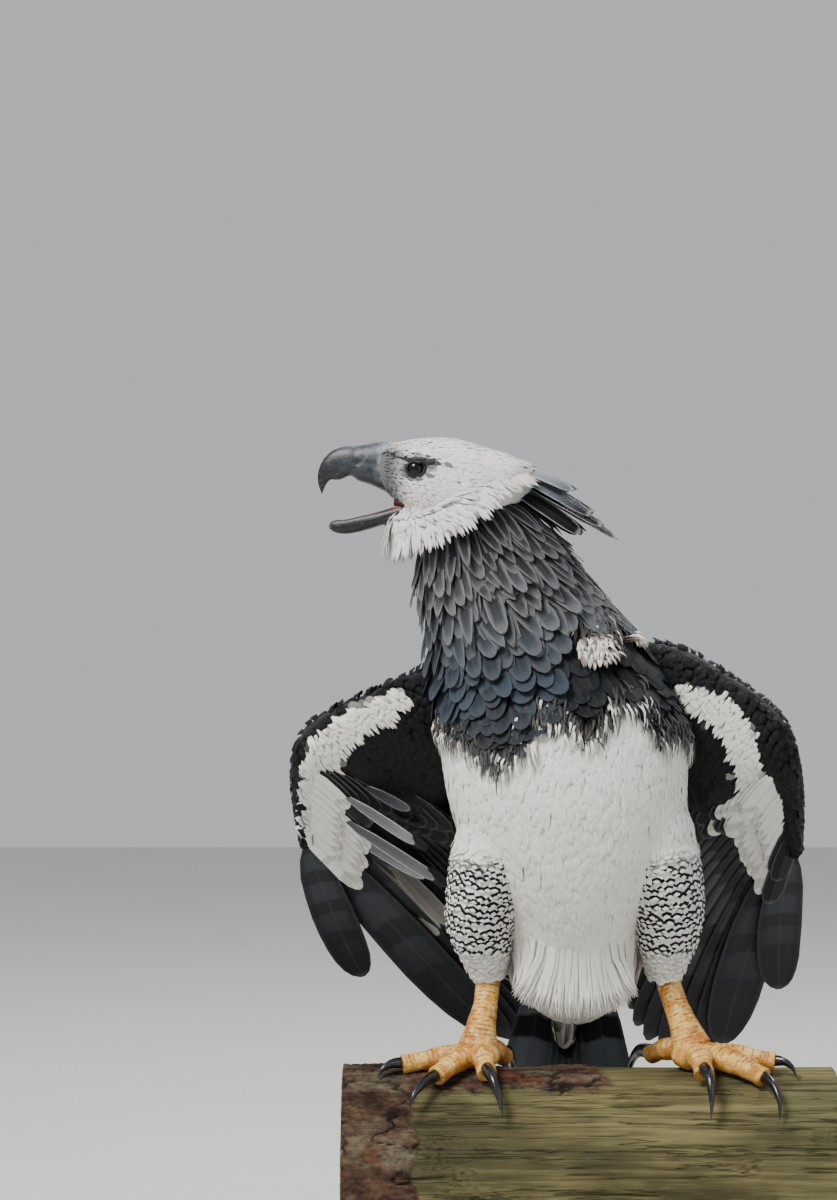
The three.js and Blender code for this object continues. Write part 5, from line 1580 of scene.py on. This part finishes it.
def limb_places(points, rows):
    """How far along a limb places lie, from 0 to 1, and how far out in its radii."""
    share = np.linspace(0, 1, 80)
    line = rows_at(rows, share)
    gap = np.linalg.norm(points[:, None, :] - line[None, :, :3], axis=-1) / line[None, :, 3:].mean(axis=-1)
    best = gap.argmin(axis=1)
    return share[best], gap[np.arange(len(points)), best]


def scale_feet(mesh, limbs):
    """Raises plates across each limb's outer side. limbs is rows, length, pitch, depth and the side they face."""
    points, normals = mesh_arrays(mesh)
    t, out = (np.stack(v) for v in zip(*(limb_places(points, limb[0]) for limb in limbs)))
    (own, second, *_), each = np.argsort(out, axis=0), np.arange(len(points))
    apart = out[second, each] - out[own, each]
    length, pitch, depth, facing = (np.array([limb[k] for limb in limbs], float)[own] for k in (1, 2, 3, 4))
    outer = smooth(0.05, 0.5, dot(normals, unit(facing))[:, 0] + 0.1 * noise(points, 5, 71)) * smooth(0.0, 0.12, apart)
    place = t[own, each] * length / pitch + 0.22 * noise(points, 10, 72) + 0.08 * noise(points, 3, 73)
    plate = np.abs(np.sin(np.pi * place)) ** 0.45
    pads = noise(points, 9, 74) * (1 - outer)
    rough = 0.25 * noise(points, 3.4, 75) + 0.12 * noise(points, 1.7, 76)
    rise = outer * depth * (plate - 0.75) + 0.5 * pads + rough
    mesh.vertices.foreach_set("co", world(points + normals * rise[:, None]).ravel())
    mesh.update()
    # Painted shade in the creases between the plates
    crease_shade = smooth(0.62, 0.30, plate) * outer
    # The feet are darker below the top of the log
    above_perch_top = smooth(-12, 10, points[:, 2] + 4 * noise(points, 9, 77))
    paint(mesh, "Col", np.stack([crease_shade, outer, above_perch_top], -1))


def scale_material():
    s = Shader("foot_scales", roughness=0.48, specular_ior_level=0.45, subsurface_weight=0.05)
    crease_shade, plated, above_perch_top = s.channels("Col")
    cells = s.node("TexVoronoi", {"Vector": s.place(), "Scale": 420.0}, feature="DISTANCE_TO_EDGE")
    # Painted shade: the grooves between the small scales are darkened, except on the plates
    crack = s.math("MAXIMUM", s.ramp(cells.outputs["Distance"], 0.0, 0.14), s.times(plated, 0.85))
    broad, fine = s.noise(55.0), s.noise(800.0)
    base = s.mix(s.ramp(broad, 0.36, 0.64), "be7a26", "ecb757")
    # Pale cream on the plated sides, which face front and up: partly paler plates, partly a painted highlight
    pale = s.times(s.ramp(s.noise(120.0, 3.0), 0.46, 0.7), plated)
    base = s.mix(s.times(pale, 0.8), base, "ecd294")
    # Darker below the top of the log
    base = s.mix(s.rest(s.times_plus(above_perch_top, 0.45, 0.55)), base, "4a2a14")
    base = s.mix(crack, s.mix(0.6, base, "4f2c10"), base)
    relief = s.plus(s.times(crack, 1.4), s.times(fine, 0.7))
    # Painted shade in the creases between the plates
    return s.finish(s.mix(s.times(crease_shade, 0.8), base, "5b3010"), relief, 0.5, 0.0007)


def grow_leg(side, leg, scales, horn):
    shank = [[x, *rest] for x, rest in zip(leg["shank"], SHANK)]
    polar, turn = ring_grid(20, 28, 0.05, np.pi - 0.05)
    ball = np.stack([np.sin(polar) * np.cos(turn), np.sin(polar) * np.sin(turn), np.cos(polar)], -1)
    parts = [Form(shank, limb_axes(X_AXIS)).mesh(60, 40), tube(np.array(leg["pad"]) + (ball * PAD_RADII)[::-1])]
    limbs = [(shank, 110, 5.4, 1.0, (0, -1, 0.1))]
    for toe, (toe_rows, claw_rows) in leg["toes"].items():
        share = np.linspace(0, 1, 13)
        spine = rows_at(toe_rows, share)
        radius = (15 - 4.5 * share) * (1 + 0.08 * np.cos(4 * np.pi * (share - 1)))
        rows = np.column_stack([spine, radius, radius * 0.92])
        long = np.linalg.norm(np.diff(spine, axis=0), axis=1).sum()
        parts.append(Form(rows, TOE_AXES).mesh(50, 36))
        limbs.append((rows, long, 5.0, 1.15, (0, -0.2, 1)))
        thick = CLAW_SIZES[toe] * (1 - np.linspace(0, 1, len(claw_rows)) ** 1.4) + 0.45
        claw = Form(np.column_stack([claw_rows, thick * 0.85, thick]), TOE_AXES)
        finish_piece(f"talon_{side}_{toe}", mesh_from("talon", *claw.mesh(40, 24)), horn, "claw",
                     [f"claw_{side}_{toe}"])
    foot = remeshed(f"scaled_foot_{side}", parts, 1.0)
    scale_feet(foot, limbs)
    finish_piece(f"scaled_foot_{side}", foot, scales, "foot_skin", [f"foot_{side}"])


foot_scales = scale_material()
claw_horn = two_tone("claw_horn", "050506", "131417", (500.0,), (0.15, 0.0004), ramp=(0.3, 0.75), rough=(0.3, 0.12),
                     roughness=0.25, specular_ior_level=0.55, coat_weight=0.4, coat_roughness=0.15)
for leg_side, leg_data in LEGS.items():
    grow_leg(leg_side, leg_data, foot_scales, claw_horn)

# Log: bark on its left part, weathered wood on the rest, cut ends
LOG_LEFT, LOG_RIGHT = -255, 285
LOG_RADIUS = 115
LOG_MIDDLE = np.array([0, 0, -LOG_RADIUS])


def log_radius(x, angle):
    """The solid log's own radius, whose top line is straight."""
    top = np.clip(np.sin(angle), 0, 1)
    ripple = np.sin(3 * angle + x * 0.011) + np.sin(5 * angle - x * 0.017 + 1.3)
    return LOG_RADIUS + 3.2 * ripple * (1 - np.sqrt(top))


def log_point(x, angle, radius):
    return np.stack([x, radius * np.cos(angle), radius * np.sin(angle)], -1) + LOG_MIDDLE


def wood_material():
    s = Shader("log_surface", roughness=0.9, specular_ior_level=0.2)
    bark, clear, height = s.channels("Col")
    grain = s.noise(150.0, 8.0, (0.045, 1, 1), 0.68)
    wood = s.mix(s.ramp(s.noise(13.0, 4.0, (0.4, 1, 1)), 0.38, 0.62), "5a5539", "8a8257")
    wood = s.mix(s.ramp(s.noise(7.0, 3.0), 0.5, 0.7), wood, "78774f")
    wood = s.mix(s.ramp(grain, 0.36, 0.66), s.mix(0.55, wood, "30291b"), wood)
    fibre = s.ramp(s.noise(520.0, 6.0, (0.03, 1, 1), 0.7), 0.55, 0.78)
    wood = s.mix(s.times(fibre, 0.5), wood, "a99e70")
    # Fine checks along the grain, painted dark as the shade inside them
    check = s.noise(58.0, 5.0, (0.03, 1, 1), 0.6)
    line = s.ramp(s.math("ABSOLUTE", s.math("SUBTRACT", check, 0.5)), 0.0, 0.014)
    wood = s.mix(line, s.mix(0.7, wood, "1d1710"), wood)
    mould = s.times(s.ramp(s.noise(17.0, 4.0, (0.7, 1, 1)), 0.52, 0.68),
                    s.ramp(s.noise(330.0, 4.0, (0.5, 1, 1)), 0.45, 0.62))
    wood = s.mix(s.times(mould, 0.75), wood, "2b2519")
    flake = s.noise(52.0, 8.0, (0.5, 1, 1), 0.7)
    crust = s.mix(s.ramp(flake, 0.34, 0.68), "241a13", "62493a")
    crust = s.mix(s.ramp(s.noise(24.0, 5.0, (0.6, 1, 1)), 0.5, 0.68), crust, "6a6150")
    rust = s.ramp(s.noise(34.0, 5.0, (0.5, 1, 1)), 0.56, 0.7)
    crust = s.mix(s.times(rust, 0.5), crust, "6b3e28")
    pores = s.ramp(s.noise(210.0, 6.0, (0.5, 1, 1), 0.7), 0.36, 0.6)
    crust = s.mix(pores, s.mix(0.5, crust, "1c130e"), crust)
    base = s.mix(bark, wood, crust)
    # Painted shade: the crevices and cracks are darkened almost to black
    base = s.mix(clear, s.mix(0.8, base, "0f0b08"), base)
    relief = s.plus(s.times_plus(flake, 1.2, s.times(grain, 0.9)), s.times(line, 0.6))
    # Painted shade by height: low places darker, raised places and the bark a little lighter
    return s.finish(s.tint(base, s.mix(height, (0.72, 0.72, 0.72), (1.12, 1.12, 1.12))), relief, 0.7, 0.002)


def end_material():
    s = Shader("cut_wood", roughness=0.85, specular_ior_level=0.2)
    _, y, z = s.node("SeparateXYZ", {0: s.place()}).outputs
    height = s.math("SUBTRACT", z, (PERCH_TOP - LOG_RADIUS) / 1000)
    out = s.math("SQRT", s.plus(s.times(y, y), s.times(height, height)))
    out = s.times_plus(s.noise(22.0), 0.012, out)
    ring = s.math("SINE", s.times(out, 820.0))
    shade = s.times_plus(ring, 0.16, s.times_plus(s.noise(400.0), 0.5, 0.25))
    wood = s.mix(s.ramp(shade, 0.1, 0.8), "6e573b", "a58c64")
    wood = s.mix(s.times(s.ramp(s.noise(30.0, 5.0), 0.42, 0.62), 0.55), wood, "7c6a50")
    wood = s.mix(s.rest(s.ramp(out, 0.012, 0.05)), wood, "6b4d31")
    turn = s.times_plus(s.noise(14.0), 5.0, s.times(s.math("ARCTAN2", y, height), 5.0))
    # Radial checks, painted dark as the shade inside them
    crack = s.times(s.ramp(s.math("SINE", turn), 0.992, 0.999), s.ramp(out, 0.012, 0.03))
    relief = s.math("SUBTRACT", shade, s.times(crack, 2.0))
    return s.finish(s.mix(crack, wood, "1d150e"), relief, 0.4, 0.0015)


def bark_relief(x, p):
    """How far the surface stands over the log's own radius, the bark's share, where its crevices and cracks are
    painted dark as shade, and its height, by which low places are painted darker and raised ones lighter as painted
    shade.
    """
    _, y, z = np.moveaxis(p, -1, 0)
    bark = smooth(3, -3, x + 172 - 14 * noise(p, 34, 41) - 6 * noise(p, 11, 42))
    strip = smooth(44, 20, x + 20 * noise(p, 30, 53)) * smooth(-19, -13, z + 5 * noise(p, 16, 54))
    bark = np.maximum(bark, strip * smooth(10, 0, y))
    long = p * (0.42, 1, 1)
    plates = noise(long, 24, 43) + 0.5 * noise(long, 10, 44) + 0.22 * noise(long, 4.5, 55)
    crevice = smooth(0.12, 0.01, np.abs(plates + 0.15)) * smooth(-0.2, 0.3, noise(p, 40, 56) + 0.4)
    flakes = np.floor((plates + 1.8) * 4.2 + 0.5 * noise(p, 14, 57)) / 4.2
    rough = 0.8 * noise(p, 4, 45) + 0.5 * noise(p, 1.8, 46)
    bark_height = 1.8 + 2.4 * (flakes - 1.8) - 3.0 * crevice + rough
    stretched = p * (0.07, 1, 1)
    grain = noise(stretched, 7, 47) + 0.6 * noise(stretched, 2.6, 48)
    crack = smooth(0.07, 0.0, np.abs(noise(stretched * (0.6, 1, 1), 26, 49))) * smooth(0, 0.3, noise(p, 60, 58))
    wood_height = -1.2 + 0.7 * grain - 2.4 * crack
    rise = blend(wood_height, np.clip(bark_height, -4, 4), bark)
    clear = 1 - np.maximum(bark * crevice, (1 - bark) * crack)
    return rise, np.stack([bark, clear, np.clip(0.5 + 0.2 * (rise + bark - 0.5), 0, 1)], -1)


def grow_log():
    x, angle = ring_grid(330, 400, LOG_LEFT, LOG_RIGHT)
    radius = log_radius(x, angle)
    rise, marks = bark_relief(x, log_point(x, angle, radius))
    p = log_point(x, angle, radius + rise)
    flat, faces = tube(p)
    mesh = mesh_from("log", flat, [face[::-1] for face in faces])
    paint(mesh, "Col", marks.reshape(-1, 3))
    finish_piece("log", mesh, wood_material(), "log", ["perch_log"])
    # Each cut end is a disc inside the log's rim, domed a little and closed behind
    cut, rings = end_material(), 40
    for name, row, out in (("left", 0, -1), ("right", -1, 1)):
        shares = np.linspace(0.02, 0.985, rings)
        spokes = np.stack([np.ones(rings), shares, shares], -1)[:, None, :]
        disc = (p[row] - LOG_MIDDLE) * spokes + LOG_MIDDLE
        dome = 0.5 + 0.5 * noise(disc, 9, 51) + 0.4 * noise(disc, 2.5, 52)
        back = disc[::-1].copy()
        disc[..., 0], back[..., 0] = p[row, 0, 0] + out * dome, p[row, 0, 0] - out * 1.5
        finish_piece(f"log_end_{name}", mesh_from("log_end", *tube(np.concatenate([disc, back]))), cut, "log")


grow_log()

# Stand: the solids themselves, with their own finishes
lacquer = two_tone("stand_wood", "2c1d14", "5b3f2b", (30.0, 6.0, (0.25, 3, 3), 0.6), (0.1, 0.0005), roughness=0.35,
                   coat_weight=0.3, coat_roughness=0.2)
metal = two_tone("brushed_metal", "7b7d80", "a9abae", (500.0, 4.0, (1, 1, 0.03)), (0.1, 0.0003), roughness=0.3,
                 metallic=1.0)
for node, material in (("stand_base", lacquer), ("stand_rod_left", metal), ("stand_rod_right", metal)):
    data = frame["nodes"][node].data
    data.materials.clear()
    data.materials.append(material)


# Floor and light
def floor_material():
    s = Shader("studio_floor", roughness=0.85)
    return s.finish(s.mix(s.noise(3.0, 3.0), "c9c9c6", "d2d2cf"))


floor_mesh = bpy.data.meshes.new("studio_floor")
floor_mesh.from_pydata([(-6, -6, 0), (6, -6, 0), (6, 6, 0), (-6, 6, 0)], [], [(0, 1, 2, 3)])
floor_mesh.materials.append(floor_material())
placed("studio_floor", floor_mesh)


def lamp(name, place, power, size, colour=(1, 1, 1)):
    """A square lamp aimed at the middle of the model."""
    light = bpy.data.lights.new(name, "AREA")
    light.energy, light.size, light.color = power, size, colour
    obj = placed(name, light)
    obj.location = place
    obj.rotation_euler = (Vector((0, 0, 0.6)) - Vector(place)).to_track_quat("-Z", "Y").to_euler()


lamp("key", (-1.5, -1.7, 3.0), 150, 1.1, (1, 0.98, 0.95))
lamp("fill", (2.4, -2.2, 1.4), 14, 2.0, (0.95, 0.98, 1))
lamp("top", (0.7, 1.4, 2.8), 60, 1.3)
studio = bpy.data.worlds.new("studio")
bpy.context.scene.world = studio
studio.use_nodes = True
colour, strength = studio.node_tree.nodes["Background"].inputs[:2]
colour.default_value, strength.default_value = (0.86, 0.88, 0.9, 1), 0.62
